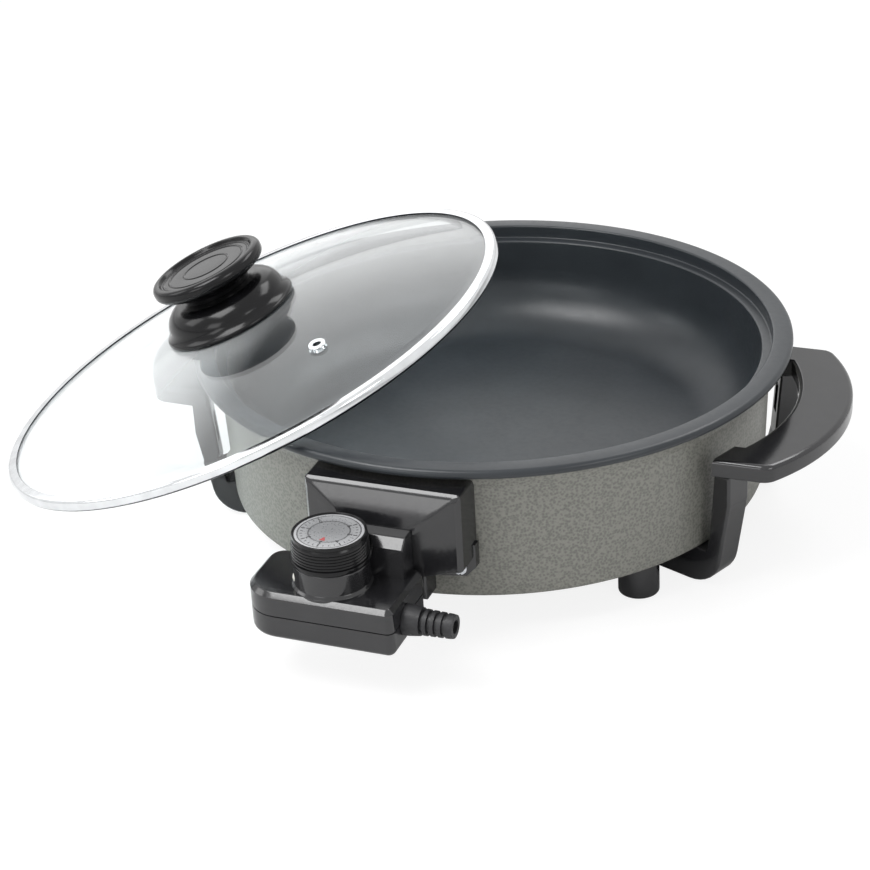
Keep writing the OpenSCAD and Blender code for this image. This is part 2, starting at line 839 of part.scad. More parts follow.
module plug_nose() {
    color("#2b2b2d") difference() {
        block(-plug_w / 2, plug_w / 2, plug_y, neck_y, pin_z - plug_down, pin_z + plug_up);
        at_pins() rod_y(0, pin_z, receptacle_r + fit, plug_y - over, neck_y + over);
        rod_y(0, pin_z, probe_r + fit, plug_y - over, neck_y + over);
    }
}

module receptacles() {
    color("#c8a85a") at_pins() difference() {
        rod_y(0, pin_z, receptacle_r, plug_y + 0.5, neck_y + neck_t);
        rod_y(0, pin_z, pin_r + fit, plug_y - over, neck_y + 1);
    }
}

module probe() {
    color("#c9ccd0") rod_y(0, pin_z, probe_r, probe_tip_y, probe_end_y);
}

module thermostat_frame() {
    ear_z = arm_z + 1.8;
    color("#a8adb2") difference() {
        union() {
            translate([0, 0, frame_z]) linear_extrude(frame_t) polygon(box_outline(box_t + slip));
            for (s = [-1, 1]) translate([-dial_left + s * (arm_w / 2 + 0.5 + ear_t / 2), 0, 0])
                block(-ear_t / 2, ear_t / 2, arm_pivot_y - 2.5, arm_pivot_y + 2.5, frame_z, ear_z);
        }
        at_posts() rod(screw_r + fit, frame_z - over, frame_z + frame_t + over);
        relief_axis() rod(relief_r, box_right - 10, box_right);
        at_arm_pin() rod(arm_pin_r + fit, -arm_w, arm_w);
    }
}

module bimetal() {
    color("#b98a5a")
        block(-dial_left + 2, probe_r, probe_end_y, probe_end_y + 3, pin_z - 0.6, pin_z + 0.6);
}

module spindle_bush() {
    color("#c8a85a") at_dial() difference() {
        union() {
            rod(bush_out_r, collar_top - 7, collar_top);
            rod(bush_flange_r, collar_top - collar_cap - 1.5, collar_top - collar_cap);
        }
        rod(spindle_r + fit, collar_top - 8, collar_top + over);
    }
}

module fixed_contact() {
    color("#c8a85a") translate([-dial_left, -arm_end_y + 3, 0])
        rod(2, frame_z + frame_t, arm_z - arm_t / 2 - 1.2);
}

module pilot_lamp() {
    color("#e8c090") at_lamp(lamp_at - 0.5) rod(lamp_r, frame_z + frame_t, lens_z + 2);
}

module pilot_lens() {
    color("#f4f0e8") at_lens() rod(lens_r, collar_in + 0.2, collar_r + 0.3);
}

// Ribbed sleeve on the box's right end, with a collar inside the wall
module strain_relief() {
    pitch = (relief_len - 11) / relief_slots;
    color("#1b1b1d") relief_axis() difference() {
        union() {
            rod(cord_r + 3, box_right - box_t - 3.1, box_right - box_t - 0.1);
            rod(relief_neck_r, box_right - box_t - 1, box_right + 1);
            translate([0, 0, box_right + 0.1])
                cylinder(h = relief_len, r1 = relief_r + 1, r2 = relief_r - 0.8);
        }
        rod(cord_r, box_right - 10, box_right + relief_len + over);
        for (i = [0:relief_slots - 1])
            tube(relief_r + 3, cord_r + 1.8, box_right + 8 + i * pitch, box_right + 9.8 + i * pitch);
    }
}

module cord_clamp() {
    color("#8d9196") difference() {
        block(box_right - 14, box_right - 9, relief_y - 5.5, relief_y + 5.5, in_low,
            relief_z + cord_r - 0.5);
        relief_axis() rod(cord_r, 0, box_right);
    }
}

module contact_arm() {
    color("#b98a5a") {
        translate([-dial_left, 0, 0]) block(-arm_w / 2, arm_w / 2, arm_pivot_y - 1.5, arm_end_y,
            arm_z - arm_t / 2, arm_z + arm_t / 2);
        at_arm_pin() rod(arm_pin_r, -arm_w / 2 - ear_t - 0.5, arm_w / 2 + ear_t + 0.5);
    }
}

// ---- dial ----

module dial_knob() {
    color("#141416") at_dial() difference() {
        rod(dial_r, dial_z, dial_top);
        rod(dial_r - dial_rim, dial_top - 1.4, dial_top + over);
        difference() {
            rod(dial_r - 2.5, dial_z - over, dial_top - 4);
            rod(spindle_r + 3, dial_z, dial_top);
        }
        rod(spindle_r + fit, dial_z - over, dial_top - 3);
    }
}

module dial_scale() {
    color("#c8c9ca") at_dial() rod(dial_r - dial_rim - 0.2, dial_top - 1.4, dial_top - 0.6);
}

module dial_spindle() {
    color("#c9ccd0") at_dial() rod(spindle_r, spindle_low, dial_top - 3.2);
}

// ---- lid ----

// Puts a lid part from its own frame onto the rim
module lid_pose() {
    translate([lid_offset * cos(lid_angle), lid_offset * sin(lid_angle), lid_z])
        rotate([0, 0, lid_angle]) rotate([0, lid_lean, 0]) children();
}

// Outline of a dome's arc from its edge radius up to the axis hole
function dome_arc(sr, r0, r1, n = 14) =
    let (a0 = acos(r0 / sr), a1 = acos(r1 / sr))
    arc([0, sphere_z], sr, a0, a1, n);

// Turns Z onto the dome's radius through the vent
module at_vent() {
    rotate([0, 0, vent_angle]) translate([0, 0, sphere_z])
        rotate([0, asin(vent_at / sphere_r), 0]) children();
}

module lid_glass() {
    color("#b8c4c8", 0.35) lid_pose() difference() {
        rotate_extrude() polygon(concat(
            [[glass_r, glass_rim_z], [glass_r, glass_rim_z + glass_t]],
            dome_arc(sphere_r, dome_r0, hole_r),
            dome_arc(inner_sphere_r, hole_r, inner_r0)
        ));
        at_vent() rod(vent_tube_r + fit, sphere_r - glass_t - over, sphere_r + over);
    }
}

module lid_band() {
    top = glass_rim_z + glass_t + slip;
    color("#d4d6d8") lid_pose() {
        tube(lid_r, lid_r - band_t, 0, top + band_t);
        tube(lid_r, lid_r - band_w, 0, band_t);
        tube(lid_r, lid_r - band_w, top, top + band_t);
    }
}

module vent_eyelet() {
    out = 1.2;
    color("#d4d6d8") lid_pose() at_vent() {
        tube(vent_tube_r, vent_tube_r - 1, sphere_r - glass_t - out, sphere_r + out);
        tube(vent_r, vent_tube_r - 1, sphere_r + slip, sphere_r + out);
        tube(vent_r, vent_tube_r - 1, sphere_r - glass_t - out, sphere_r - glass_t - slip);
    }
}

module knob_base() {
    edge_h = 3.6;
    color("#1b1b1d") lid_pose() difference() {
        rotate_extrude() polygon(concat(
            [[0, knob_z]],
            arc([knob_base_r - edge_h / 2, knob_z + edge_h / 2], edge_h / 2, -90, 60, 6),
            arc([knob_neck_r + 2, knob_z + edge_h + 1], knob_base_r - knob_neck_r - 5, 10, 80, 10),
            [[knob_neck_r, neck_knob_z - 0.8], [knob_neck_r - 1, neck_knob_z], [0, neck_knob_z]]
        ));
        rod(insert_r, knob_z - over, neck_knob_z + over);
        rotate_extrude() polygon(concat(
            [[0, 0], [knob_base_r - 4, 0]],
            dome_arc(sphere_r + slip, knob_base_r - 4, 0)
        ));
    }
}

module knob_cap() {
    c = knob_neck_r - 1;
    edge = 3.4;
    color("#1b1b1d") lid_pose() difference() {
        rotate_extrude() polygon(concat(
            [[0, neck_knob_z], [c, neck_knob_z], [c, neck_knob_z + 3]],
            arc([knob_top_r - edge, cap_top - edge], edge, -70, 90, 8),
            [[knob_top_r - 5, cap_top], [knob_top_r - 8, cap_top - knob_dish],
             [0, cap_top - knob_dish]]
        ));
        rod(insert_r, neck_knob_z - over, neck_knob_z + 6);
    }
}

module knob_insert() {
    color("#c8a85a") lid_pose() difference() {
        rod(insert_r, dome_top + slip, neck_knob_z + 6);
        rod(knob_screw_r + fit, 0, neck_knob_z + 4);
    }
}

module knob_washer() {
    color("#c9c4b8") lid_pose()
        tube(washer_r, knob_screw_r + fit, dome_low - washer_t - slip, dome_low - slip);
}

module knob_screw() {
    low = dome_low - washer_t - slip;
    color("#c9ccd0") lid_pose() translate([0, 0, low]) {
        rod(knob_screw_r, 0, neck_knob_z - low);
        rod(knob_screw_r * 2, -2.6, 0);
    }
}

pan();
heating_element();
element_clips();
clip_screws();
terminal_pins();
pin_bushes();
socket_hood();
hood_screws();
handle_right();
handle_left();
leg_front_right();
leg_rear_right();
leg_front_left();
leg_rear_left();
handle_screws();
leg_screws();
round_feet();
foot_screws();
foot_pads();
control_top();
control_bottom();
control_screws();
plug_nose();
receptacles();
probe();
thermostat_frame();
bimetal();
spindle_bush();
fixed_contact();
pilot_lamp();
pilot_lens();
strain_relief();
cord_clamp();
contact_arm();
dial_knob();
dial_scale();
dial_spindle();
lid_glass();
lid_band();
vent_eyelet();
knob_base();
knob_cap();
knob_insert();
knob_washer();
knob_screw();
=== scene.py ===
import math

import bpy
from mathutils import Matrix, Vector


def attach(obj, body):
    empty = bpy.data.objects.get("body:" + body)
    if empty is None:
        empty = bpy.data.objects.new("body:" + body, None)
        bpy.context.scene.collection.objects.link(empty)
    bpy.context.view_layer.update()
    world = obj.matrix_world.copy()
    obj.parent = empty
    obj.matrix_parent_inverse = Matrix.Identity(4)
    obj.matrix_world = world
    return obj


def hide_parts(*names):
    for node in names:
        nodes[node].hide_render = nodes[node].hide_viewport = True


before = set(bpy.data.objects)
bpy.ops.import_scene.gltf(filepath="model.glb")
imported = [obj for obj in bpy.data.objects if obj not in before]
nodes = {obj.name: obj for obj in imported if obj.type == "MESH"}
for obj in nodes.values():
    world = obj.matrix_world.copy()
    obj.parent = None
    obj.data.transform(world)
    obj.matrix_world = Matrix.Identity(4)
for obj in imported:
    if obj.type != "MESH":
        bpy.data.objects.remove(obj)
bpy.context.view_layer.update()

MM = 0.001            # lengths below are in millimetres unless a name says otherwise

# Pan, from the source of the solids
RIM_Z, LIP_R, SEAT_R, LEDGE_R, LEDGE_Z = 103, 165, 153.7, 147.8, 95.3
FLOOR_Z, UNDER_Z, SKIRT_Z = 43, 38, 22
WALL_R, SKIRT_R, SKIRT_IN_R, COVE_R = 153, 150, 146, 35
FLARE_LOW_R, FLARE_Z, FLARE_R = 152.56, 87.3, 157     # the wall flares out below the lip
LIP_LOW = RIM_Z - 5
SEAT_GAP = 0.3        # clearance of a part that is screwed to the wall
WELL_R = 3.8          # wells that let the screws in from below

# Lid: place, direction and lean of its own frame
LID_PLACE = Vector((-132.455, -34.996, 87.755))
LID_TURN, LID_LEAN = math.radians(194.8), math.radians(21.8)
LID_MATRIX = (Matrix.Translation(LID_PLACE * MM) @ Matrix.Rotation(LID_TURN, 4, "Z")
              @ Matrix.Rotation(LID_LEAN, 4, "Y"))
LID_R, BAND_T, GLASS_T, GLASS_RIM_Z, DOME_H = 152.5, 0.9, 4.0, 1.2, 23.3
DOME_R = LID_R - 8
SPHERE_R = (DOME_R ** 2 + DOME_H ** 2) / (2 * DOME_H)
DOME_TOP = GLASS_RIM_Z + GLASS_T + DOME_H
SPHERE_Z = DOME_TOP - SPHERE_R
VENT_TURN, VENT_AT, VENT_R = math.radians(131), 94.5, 3.3       # steam vent in the glass

# Control and dial
DIAL = Vector((-15.5, -198.7, 0))
BOX_LEFT, BOX_RIGHT, BOX_BACK, BOX_FRONT = -58, 24, -175.3, -220
BOX_LOW, SEAM_Z, BOX_TOP = 28, 41, 54
COLLAR_R, COLLAR_TOP = 19.3, 67
DIAL_R, DIAL_LOW, DIAL_TOP = 20.3, 67.5, 82.5
NECK_X, NECK_FRONT, NECK_TOP = 18.5, -188.3, 75
SCALE_START, SCALE_SWEEP = -225, 270                            # the dial's marks, in degrees
LENS_TURN, LENS_AT, LENS_UP = math.radians(210), 16.2, 4.5      # pilot lens in the collar
RELIEF_Y, RELIEF_Z = -201.65, 40


# ---- camera ----

FOCAL_PX, FRAME_PX, SENSOR = 2330.4, 870, 36.0
AZIMUTH, ELEVATION, ROLL = math.radians(22.5), math.radians(27.24), math.radians(-3.26)
DISTANCE = 1323.7
TARGET = Vector((-35.6, 0, 40.4))        # in the frame that is turned with the camera


def make_camera():
    ahead = Vector((0, math.cos(ELEVATION), -math.sin(ELEVATION)))
    right = Vector((1, 0, 0))
    up = right.cross(ahead)
    side = right * math.cos(ROLL) + up * math.sin(ROLL)
    top = up * math.cos(ROLL) - right * math.sin(ROLL)
    turn = Matrix.Rotation(AZIMUTH, 4, "Z")
    place = (TARGET - ahead * DISTANCE) * MM
    camera = bpy.data.objects.new("camera", bpy.data.cameras.new("camera"))
    bpy.context.scene.collection.objects.link(camera)
    camera.data.sensor_width = SENSOR
    camera.data.lens = FOCAL_PX / FRAME_PX * SENSOR
    camera.data.clip_start, camera.data.clip_end = 0.05, 50
    axes = Matrix((side, top, -ahead)).transposed().to_4x4()
    camera.matrix_world = turn @ Matrix.Translation(place) @ axes
    bpy.context.scene.camera = camera


make_camera()


# ---- materials ----

def linear(value):
    """A hex colour, as it is seen, as linear numbers."""
    parts = [int(value[i:i + 2], 16) / 255 for i in (1, 3, 5)]
    return tuple(c / 12.92 if c <= 0.04045 else ((c + 0.055) / 1.055) ** 2.4 for c in parts) + (1,)


def add(tree, kind, settings=None, **inputs):
    """Adds a node: its settings, then its inputs, each a number, a colour or another socket."""
    node = tree.nodes.new(kind)
    for key, value in (settings or {}).items():
        setattr(node, key, value)
    for key, value in inputs.items():
        name = key.replace("_", " ")
        socket = node.inputs[int(key[1:])] if key[1:].isdigit() else node.inputs[name]
        if isinstance(value, bpy.types.NodeSocket):
            tree.links.new(value, socket)
        else:
            socket.default_value = value
    return node


def surface(name, **sockets):
    """A new material with its Principled shader's constant sockets set."""
    material = bpy.data.materials.new(name)
    material.use_nodes = True
    tree = material.node_tree
    shader = tree.nodes["Principled BSDF"]
    for key, value in sockets.items():
        shader.inputs[key.replace("_", " ")].default_value = value
    return material, tree, shader


def wire(tree, shader, **sockets):
    for key, value in sockets.items():
        tree.links.new(value, shader.inputs[key.replace("_", " ")])


def grain(tree, size, detail=2.0, roughness=0.5):
    """Noise whose lumps are about size millimetres wide."""
    place = add(tree, "ShaderNodeTexCoord").outputs["Object"]
    return add(tree, "ShaderNodeTexNoise", Vector=place, Scale=1 / (size * MM), Detail=detail,
               Roughness=roughness).outputs["Fac"]


def spread(tree, value, low, high, start=0.3, end=0.7):
    """Maps a pattern onto a range of numbers."""
    return add(tree, "ShaderNodeMapRange", Value=value, From_Min=start, From_Max=end, To_Min=low,
               To_Max=high).outputs["Result"]


def shades(tree, value, *stops):
    """Maps a pattern onto colours: (place, hex) stops."""
    node = add(tree, "ShaderNodeValToRGB", Fac=value)
    ramp = node.color_ramp.elements
    while len(ramp) < len(stops):
        ramp.new(0.5)
    for element, (place, value) in zip(ramp, stops):
        element.position, element.color = place, linear(value)
    return node.outputs["Color"]


def relief(tree, height, depth, strength=1.0):
    """Bump of a pattern, depth in millimetres."""
    return add(tree, "ShaderNodeBump", Height=height, Distance=depth * MM,
               Strength=strength).outputs["Normal"]


def phenolic():
    """Black compression-moulded phenolic from a polished mould: deep black, with a wet gloss and a
    faint orange peel."""
    material, tree, shader = surface("phenolic_black_moulded_gloss", IOR=1.6,
                                     Specular_IOR_Level=0.5)
    wire(tree, shader, Base_Color=shades(tree, grain(tree, 9), (0.3, "#1c1c1e"), (0.7, "#232325")),
         Roughness=spread(tree, grain(tree, 1.6), 0.11, 0.18),
         Normal=relief(tree, grain(tree, 2.4), 0.006, 0.5))
    return material


def knob_phenolic():
    """The same phenolic from a finely blasted mould, as on the lid's knob and the dial: satin, with
    a soft broad sheen."""
    material, tree, shader = surface("phenolic_black_moulded_satin", IOR=1.55,
                                     Specular_IOR_Level=0.24)
    wire(tree, shader, Base_Color=shades(tree, grain(tree, 6), (0.3, "#0c0c0d"), (0.7, "#111113")),
         Roughness=spread(tree, grain(tree, 1.2), 0.13, 0.2),
         Normal=relief(tree, grain(tree, 0.9), 0.01, 0.5))
    return material


def nonstick():
    """PTFE-type coating sprayed on cast aluminium: blue-black, eggshell gloss, fine pale fleck."""
    material, tree, shader = surface("nonstick_ptfe_sprayed", IOR=1.45)
    place = add(tree, "ShaderNodeTexCoord").outputs["Object"]
    fleck = add(tree, "ShaderNodeTexVoronoi", Vector=place,
                Scale=1 / (1.3 * MM)).outputs["Distance"]
    base = shades(tree, grain(tree, 30), (0.3, "#282c30"), (0.7, "#2f3337"))
    pale = shades(tree, fleck, (0.05, "#3e4348"), (0.12, "#000000"))
    mixed = add(tree, "ShaderNodeMixRGB", {"blend_type": "LIGHTEN"}, Fac=0.6, Color1=base,
                Color2=pale)
    wire(tree, shader, Base_Color=mixed.outputs["Color"],
         Roughness=spread(tree, grain(tree, 3), 0.30, 0.38),
         Normal=relief(tree, grain(tree, 1.1), 0.02, 0.6))
    return material


def hammertone():
    """Hammer paint on the casting's outside: warm grey flakes that pool into dimples 1.5 mm
    wide."""
    material, tree, shader = surface("hammertone_grey_paint", IOR=1.5, Metallic=0.15,
                                     Coat_Weight=0.2, Coat_Roughness=0.25)
    place = add(tree, "ShaderNodeTexCoord").outputs["Object"]
    drift = add(tree, "ShaderNodeTexNoise", Vector=place, Scale=1 / (2 * MM), Detail=2.0)
    bent = add(tree, "ShaderNodeMixRGB", Fac=0.0008, Color1=place, Color2=drift.outputs["Color"])
    cells = add(tree, "ShaderNodeTexVoronoi", {"feature": "SMOOTH_F1"},
                Vector=bent.outputs["Color"], Scale=1 / (1.5 * MM), Smoothness=0.5)
    dimple = cells.outputs["Distance"]
    flakes = grain(tree, 0.9, 3.0, 0.65)
    colour = shades(tree, dimple, (0.0, "#6f6f6b"), (0.35, "#7b7b76"), (0.62, "#8d8d87"))
    specks = shades(tree, flakes, (0.3, "#6c6c68"), (0.72, "#a9a9a3"))
    mixed = add(tree, "ShaderNodeMixRGB", {"blend_type": "SOFT_LIGHT"}, Fac=0.5, Color1=colour,
                Color2=specks)
    wire(tree, shader, Base_Color=mixed.outputs["Color"],
         Roughness=spread(tree, flakes, 0.42, 0.55),
         Normal=relief(tree, dimple, 0.06, 0.5))
    return material


def brushed_inside():
    """Bare cast aluminium under the pan, turned on a lathe: soft grey with fine rings."""
    material, tree, shader = surface("aluminium_cast_turned", Metallic=1.0)
    place = add(tree, "ShaderNodeTexCoord").outputs["Object"]
    rings = add(tree, "ShaderNodeTexWave", {"wave_type": "RINGS", "rings_direction": "Z"},
                Vector=place, Scale=1 / (9 * MM), Distortion=0.6, Detail=1.0)
    wire(tree, shader, Base_Color=shades(tree, grain(tree, 5), (0.3, "#8f9193"), (0.7, "#a7a9ab")),
         Roughness=spread(tree, grain(tree, 2), 0.42, 0.55),
         Normal=relief(tree, rings.outputs["Fac"], 0.02, 0.5))
    return material


def metal(name, dark, light, low, high, size=1.5):
    """A bare metal that varies a little in tone and gloss."""
    material, tree, shader = surface(name, Metallic=1.0)
    wire(tree, shader, Base_Color=shades(tree, grain(tree, size * 3), (0.3, dark), (0.7, light)),
         Roughness=spread(tree, grain(tree, size), low, high))
    return material


def ceramic():
    """Steatite bush, fired and unglazed: chalk white with a slight sheen."""
    material, tree, shader = surface("steatite_fired", IOR=1.6)
    wire(tree, shader,
         Base_Color=shades(tree, grain(tree, 1.5), (0.3, "#ddd8cb"), (0.7, "#ebe7dc")),
         Roughness=spread(tree, grain(tree, 0.6), 0.4, 0.55))
    return material


def rubber():
    """Black moulded rubber: matte, a little grey where it is handled."""
    material, tree, shader = surface("rubber_black_moulded", IOR=1.5)
    wire(tree, shader, Base_Color=shades(tree, grain(tree, 4), (0.3, "#18181a"), (0.7, "#232326")),
         Roughness=spread(tree, grain(tree, 1), 0.42, 0.6),
         Normal=relief(tree, grain(tree, 0.5), 0.02, 0.5))
    return material


def nylon():
    """Glass-filled nylon: dark, dry and slightly mottled."""
    material, tree, shader = surface("nylon_glass_filled", IOR=1.53)
    wire(tree, shader, Base_Color=shades(tree, grain(tree, 2), (0.3, "#252527"), (0.7, "#303033")),
         Roughness=spread(tree, grain(tree, 0.8), 0.5, 0.65))
    return material


def lid_glass_material():
    """Soda-lime glass, tempered: clear with a faint grey cast. A white diffuse veil whitens it
    where the eye grazes it and towards its low side: a painted reflection. It lets light through."""
    material, tree, shader = surface("glass_soda_lime_tempered", Base_Color=linear("#eef2f3"),
                                     Roughness=0.0, IOR=1.5, Transmission_Weight=1.0)
    # white diffuse veil that stands in for the glass's reflection: painted reflection
    painted_reflection_veil = add(tree, "ShaderNodeBsdfDiffuse", Color=linear("#f4f6f7")).outputs["BSDF"]
    edge = add(tree, "ShaderNodeLayerWeight", Blend=0.5).outputs["Facing"]
    grazed = spread(tree, edge, 0.0, 0.28, 0.5, 0.92)
    place = add(tree, "ShaderNodeTexCoord").outputs["Object"]
    across = add(tree, "ShaderNodeSeparateXYZ", Vector=place).outputs["X"]
    # painted reflection fixed in place: 0.3 of the veil below X = -180 mm, none above X = -100 mm
    painted_reflection_low_side = spread(tree, across, 0.3, 0.0, -180 * MM, -100 * MM)
    share = add(tree, "ShaderNodeMath", {"operation": "ADD", "use_clamp": True}, i0=grazed,
                i1=painted_reflection_low_side).outputs["Value"]
    with_painted_reflection = add(tree, "ShaderNodeMixShader", i0=share, i1=shader.outputs["BSDF"], i2=painted_reflection_veil)
    clear = add(tree, "ShaderNodeBsdfTransparent", Color=linear("#eef3f3"))
    shadow = add(tree, "ShaderNodeLightPath").outputs["Is Shadow Ray"]
    both = add(tree, "ShaderNodeMixShader", i0=shadow, i1=with_painted_reflection.outputs["Shader"],
               i2=clear.outputs["BSDF"])
    wire(tree, tree.nodes["Material Output"], Surface=both.outputs["Shader"])
    return material


def lens_material():
    """Frosted polycarbonate lens over the lamp, unlit: milky white."""
    material, tree, shader = surface("polycarbonate_frosted", IOR=1.58, Subsurface_Weight=0.3,
                                     Subsurface_Radius=(0.002, 0.002, 0.002))
    wire(tree, shader, Base_Color=shades(tree, grain(tree, 1), (0.3, "#dedcd4"), (0.7, "#efeee8")),
         Roughness=spread(tree, grain(tree, 0.5), 0.2, 0.3))
    return material


def dial_face():
    """Silver printed disc under clear lacquer: pale grey with dark rings at 10.5 and 15.9 mm, and a
    paler band at its rim that is a painted highlight.
    """
    material, tree, shader = surface("printed_disc_silver_lacquered", IOR=1.5, Metallic=0.3,
                                     Coat_Weight=0.5, Coat_Roughness=0.12)
    place = add(tree, "ShaderNodeTexCoord").outputs["Object"]
    centred = add(tree, "ShaderNodeMapping", Vector=place,
                  Location=(-DIAL.x * MM, -DIAL.y * MM, 0)).outputs["Vector"]
    flat = add(tree, "ShaderNodeVectorMath", {"operation": "MULTIPLY"}, i0=centred,
               i1=(1 / MM, 1 / MM, 0)).outputs["Vector"]
    radius = add(tree, "ShaderNodeVectorMath", {"operation": "LENGTH"}, i0=flat).outputs["Value"]
    share = add(tree, "ShaderNodeMath", {"operation": "DIVIDE"}, i0=radius,
                i1=DIAL_R).outputs["Value"]
    wire(tree, shader,
         # the palest stop, outside 16.3 mm, paints the rim's highlight into the disc's colour
         Base_Color=shades(tree, share, (0.0, "#8a8b8d"), (0.49, "#909193"), (0.505, "#58585a"),
                           (0.525, "#58585a"), (0.54, "#9c9d9f"), (0.76, "#a6a7a9"),
                           (0.775, "#4a4a4c"), (0.79, "#4a4a4c"), (0.805, "#bcbdbf")),
         Roughness=spread(tree, grain(tree, 1.2), 0.25, 0.35))
    return material


def ink(name, dark, light):
    """Screen-printed ink: flat and slightly satin."""
    material, tree, shader = surface(name, IOR=1.5)
    wire(tree, shader, Base_Color=shades(tree, grain(tree, 0.8), (0.3, dark), (0.7, light)),
         Roughness=spread(tree, grain(tree, 0.5), 0.4, 0.5))
    return material


GLOSS = phenolic()
SATIN = knob_phenolic()
COATING = nonstick()
HAMMER = hammertone()
BARE = brushed_inside()
ZINC = metal("steel_zinc_plated", "#b9bcc0", "#d3d6da", 0.22, 0.34)
CHROME = metal("stainless_steel_polished", "#d6d8da", "#e6e8ea", 0.07, 0.13, 4)
# dark steel for the lid band's underside and inner edge: painted shade and painted dark reflection
BAND_PAINTED_SHADE = metal("stainless_steel_band_painted_shade", "#35363a", "#45464a", 0.3, 0.42, 3)
SHEATH = metal("incoloy_sheath_heat_tinted", "#5b544d", "#77706a", 0.4, 0.55)
BRASS = metal("brass_machined", "#b08a45", "#c9a45e", 0.25, 0.38)
BRONZE = metal("phosphor_bronze_strip", "#8f6238", "#a97a4c", 0.3, 0.42)
CERAMIC = ceramic()
RUBBER = rubber()
NYLON = nylon()
GLASS = lid_glass_material()
LENS = lens_material()
FACE = dial_face()
INK = ink("ink_black_printed", "#1d1d1f", "#262628")
RED_INK = ink("ink_red_printed", "#a03a3c", "#b24a4b")


# ---- modelling helpers ----

def mode(name):
    if bpy.context.object and bpy.context.object.mode != name:
        bpy.ops.object.mode_set(mode=name)


def deselect():
    mode("OBJECT")
    bpy.ops.object.select_all(action="DESELECT")


def only(obj):
    """Makes a piece the selected and active one."""
    deselect()
    obj.select_set(True)
    bpy.context.view_layer.objects.active = obj


def joined(pieces):
    """Joins pieces into the first of them."""
    deselect()
    for piece in pieces:
        piece.select_set(True)
    bpy.context.view_layer.objects.active = pieces[0]
    bpy.ops.object.join()
    return pieces[0]


def named(name):
    obj = bpy.context.object
    obj.name = obj.data.name = name
    return obj


def begin(name, point):
    """Starts a piece as one vertex, in edit mode: a small plane merged to its middle."""
    deselect()
    bpy.ops.mesh.primitive_plane_add(size=MM)
    obj = named(name)
    mode("EDIT")
    bpy.ops.mesh.select_mode(type="VERT")
    bpy.ops.mesh.select_all(action="SELECT")
    bpy.ops.mesh.merge(type="CENTER")
    bpy.ops.transform.translate(value=Vector(point) * MM)
    return obj


def trace(points):
    """Extrudes the selected vertex from point to point."""
    for a, b in zip(points, points[1:]):
        bpy.ops.mesh.extrude_vertices_move(
            TRANSFORM_OT_translate={"value": (Vector(b) - Vector(a)) * MM})


def pick(kind, test):
    """Selects the vertices, edges or faces in edit mode that pass a test, in millimetres: a vertex
    gives its place, an edge its two ends, a face its middle and normal."""
    bpy.ops.mesh.select_mode(type=kind)
    bpy.ops.mesh.select_all(action="DESELECT")
    mode("OBJECT")
    mesh = bpy.context.object.data
    co = [v.co / MM for v in mesh.vertices]
    if kind == "VERT":
        for v in mesh.vertices:
            v.select = bool(test(co[v.index]))
    elif kind == "EDGE":
        for e in mesh.edges:
            e.select = bool(test(co[e.vertices[0]], co[e.vertices[1]]))
    else:
        for f in mesh.polygons:
            f.select = bool(test(f.center / MM, f.normal))
    mode("EDIT")


def face_out():
    """Turns all the faces outwards."""
    bpy.ops.mesh.select_all(action="SELECT")
    bpy.ops.mesh.normals_make_consistent(inside=False)


def tidy():
    """Merges doubles and turns the faces outwards."""
    bpy.ops.mesh.select_all(action="SELECT")
    bpy.ops.mesh.remove_doubles(threshold=2e-6)
    face_out()


def soften(width, segments=4):
    """Rounds the selected edges."""
    bpy.ops.mesh.bevel(offset=width * MM, segments=segments, affect="EDGES", clamp_overlap=True)


def at_height(z, slack=0.01):
    return lambda a, b: abs(a.z - z) < slack and abs(b.z - z) < slack


def turned(name, profile, steps=96, ring=False):
    """Spins a profile of (radius, height) points around Z. A ring's profile closes on itself."""
    points = [(r, 0, z) for r, z in profile]
    obj = begin(name, points[0])
    trace(points)
    if ring:
        ends = (Vector(points[0]), Vector(points[-1]))
        pick("VERT", lambda p: min((p - e).length for e in ends) < 1e-3)
        bpy.ops.mesh.edge_face_add()
    bpy.ops.mesh.select_all(action="SELECT")
    bpy.ops.mesh.spin(steps=steps, angle=math.tau, center=(0, 0, 0), axis=(0, 0, 1))
    tidy()
    return obj


def slab(name, outline, low, high):
    """Extrudes an outline of (x, y) points from one height to another. Stays in edit mode."""
    points = [(x, y, low) for x, y in outline]
    obj = begin(name, points[0])
    trace(points)
    bpy.ops.mesh.select_all(action="SELECT")
    bpy.ops.mesh.edge_face_add()
    bpy.ops.mesh.select_all(action="SELECT")
    bpy.ops.mesh.extrude_region_move(TRANSFORM_OT_translate={"value": (0, 0, (high - low) * MM)})
    tidy()
    return obj


def rod(name, radius, depth, middle, steps):
    """An upright cylinder about its middle point, to cut with."""
    deselect()
    bpy.ops.mesh.primitive_cylinder_add(vertices=steps, radius=radius * MM, depth=depth * MM,
                                        location=[c * MM for c in middle])
    return named(name)


def moved(obj, matrix):
    """Puts a piece in place and leaves its object at the origin."""
    only(obj)
    obj.matrix_world = matrix
    bpy.ops.object.transform_apply(location=True, rotation=True, scale=True)
    return obj


def cut(obj, cutter):
    """Takes the cutter's shape out of a piece."""
    only(obj)
    tool = obj.modifiers.new("cut", "BOOLEAN")
    tool.object, tool.operation, tool.solver = cutter, "DIFFERENCE", "EXACT"
    bpy.ops.object.modifier_apply(modifier=tool.name)
    bpy.data.objects.remove(cutter)
    return obj


def copied(obj, name, matrix):
    """A copy with its own mesh, moved by a matrix. A mirrored copy gets its faces turned back."""
    twin = obj.copy()
    twin.data = obj.data.copy()
    twin.name = twin.data.name = name
    bpy.context.scene.collection.objects.link(twin)
    moved(twin, matrix)
    if matrix.determinant() < 0:
        mode("EDIT")
        face_out()
        mode("OBJECT")
    return twin


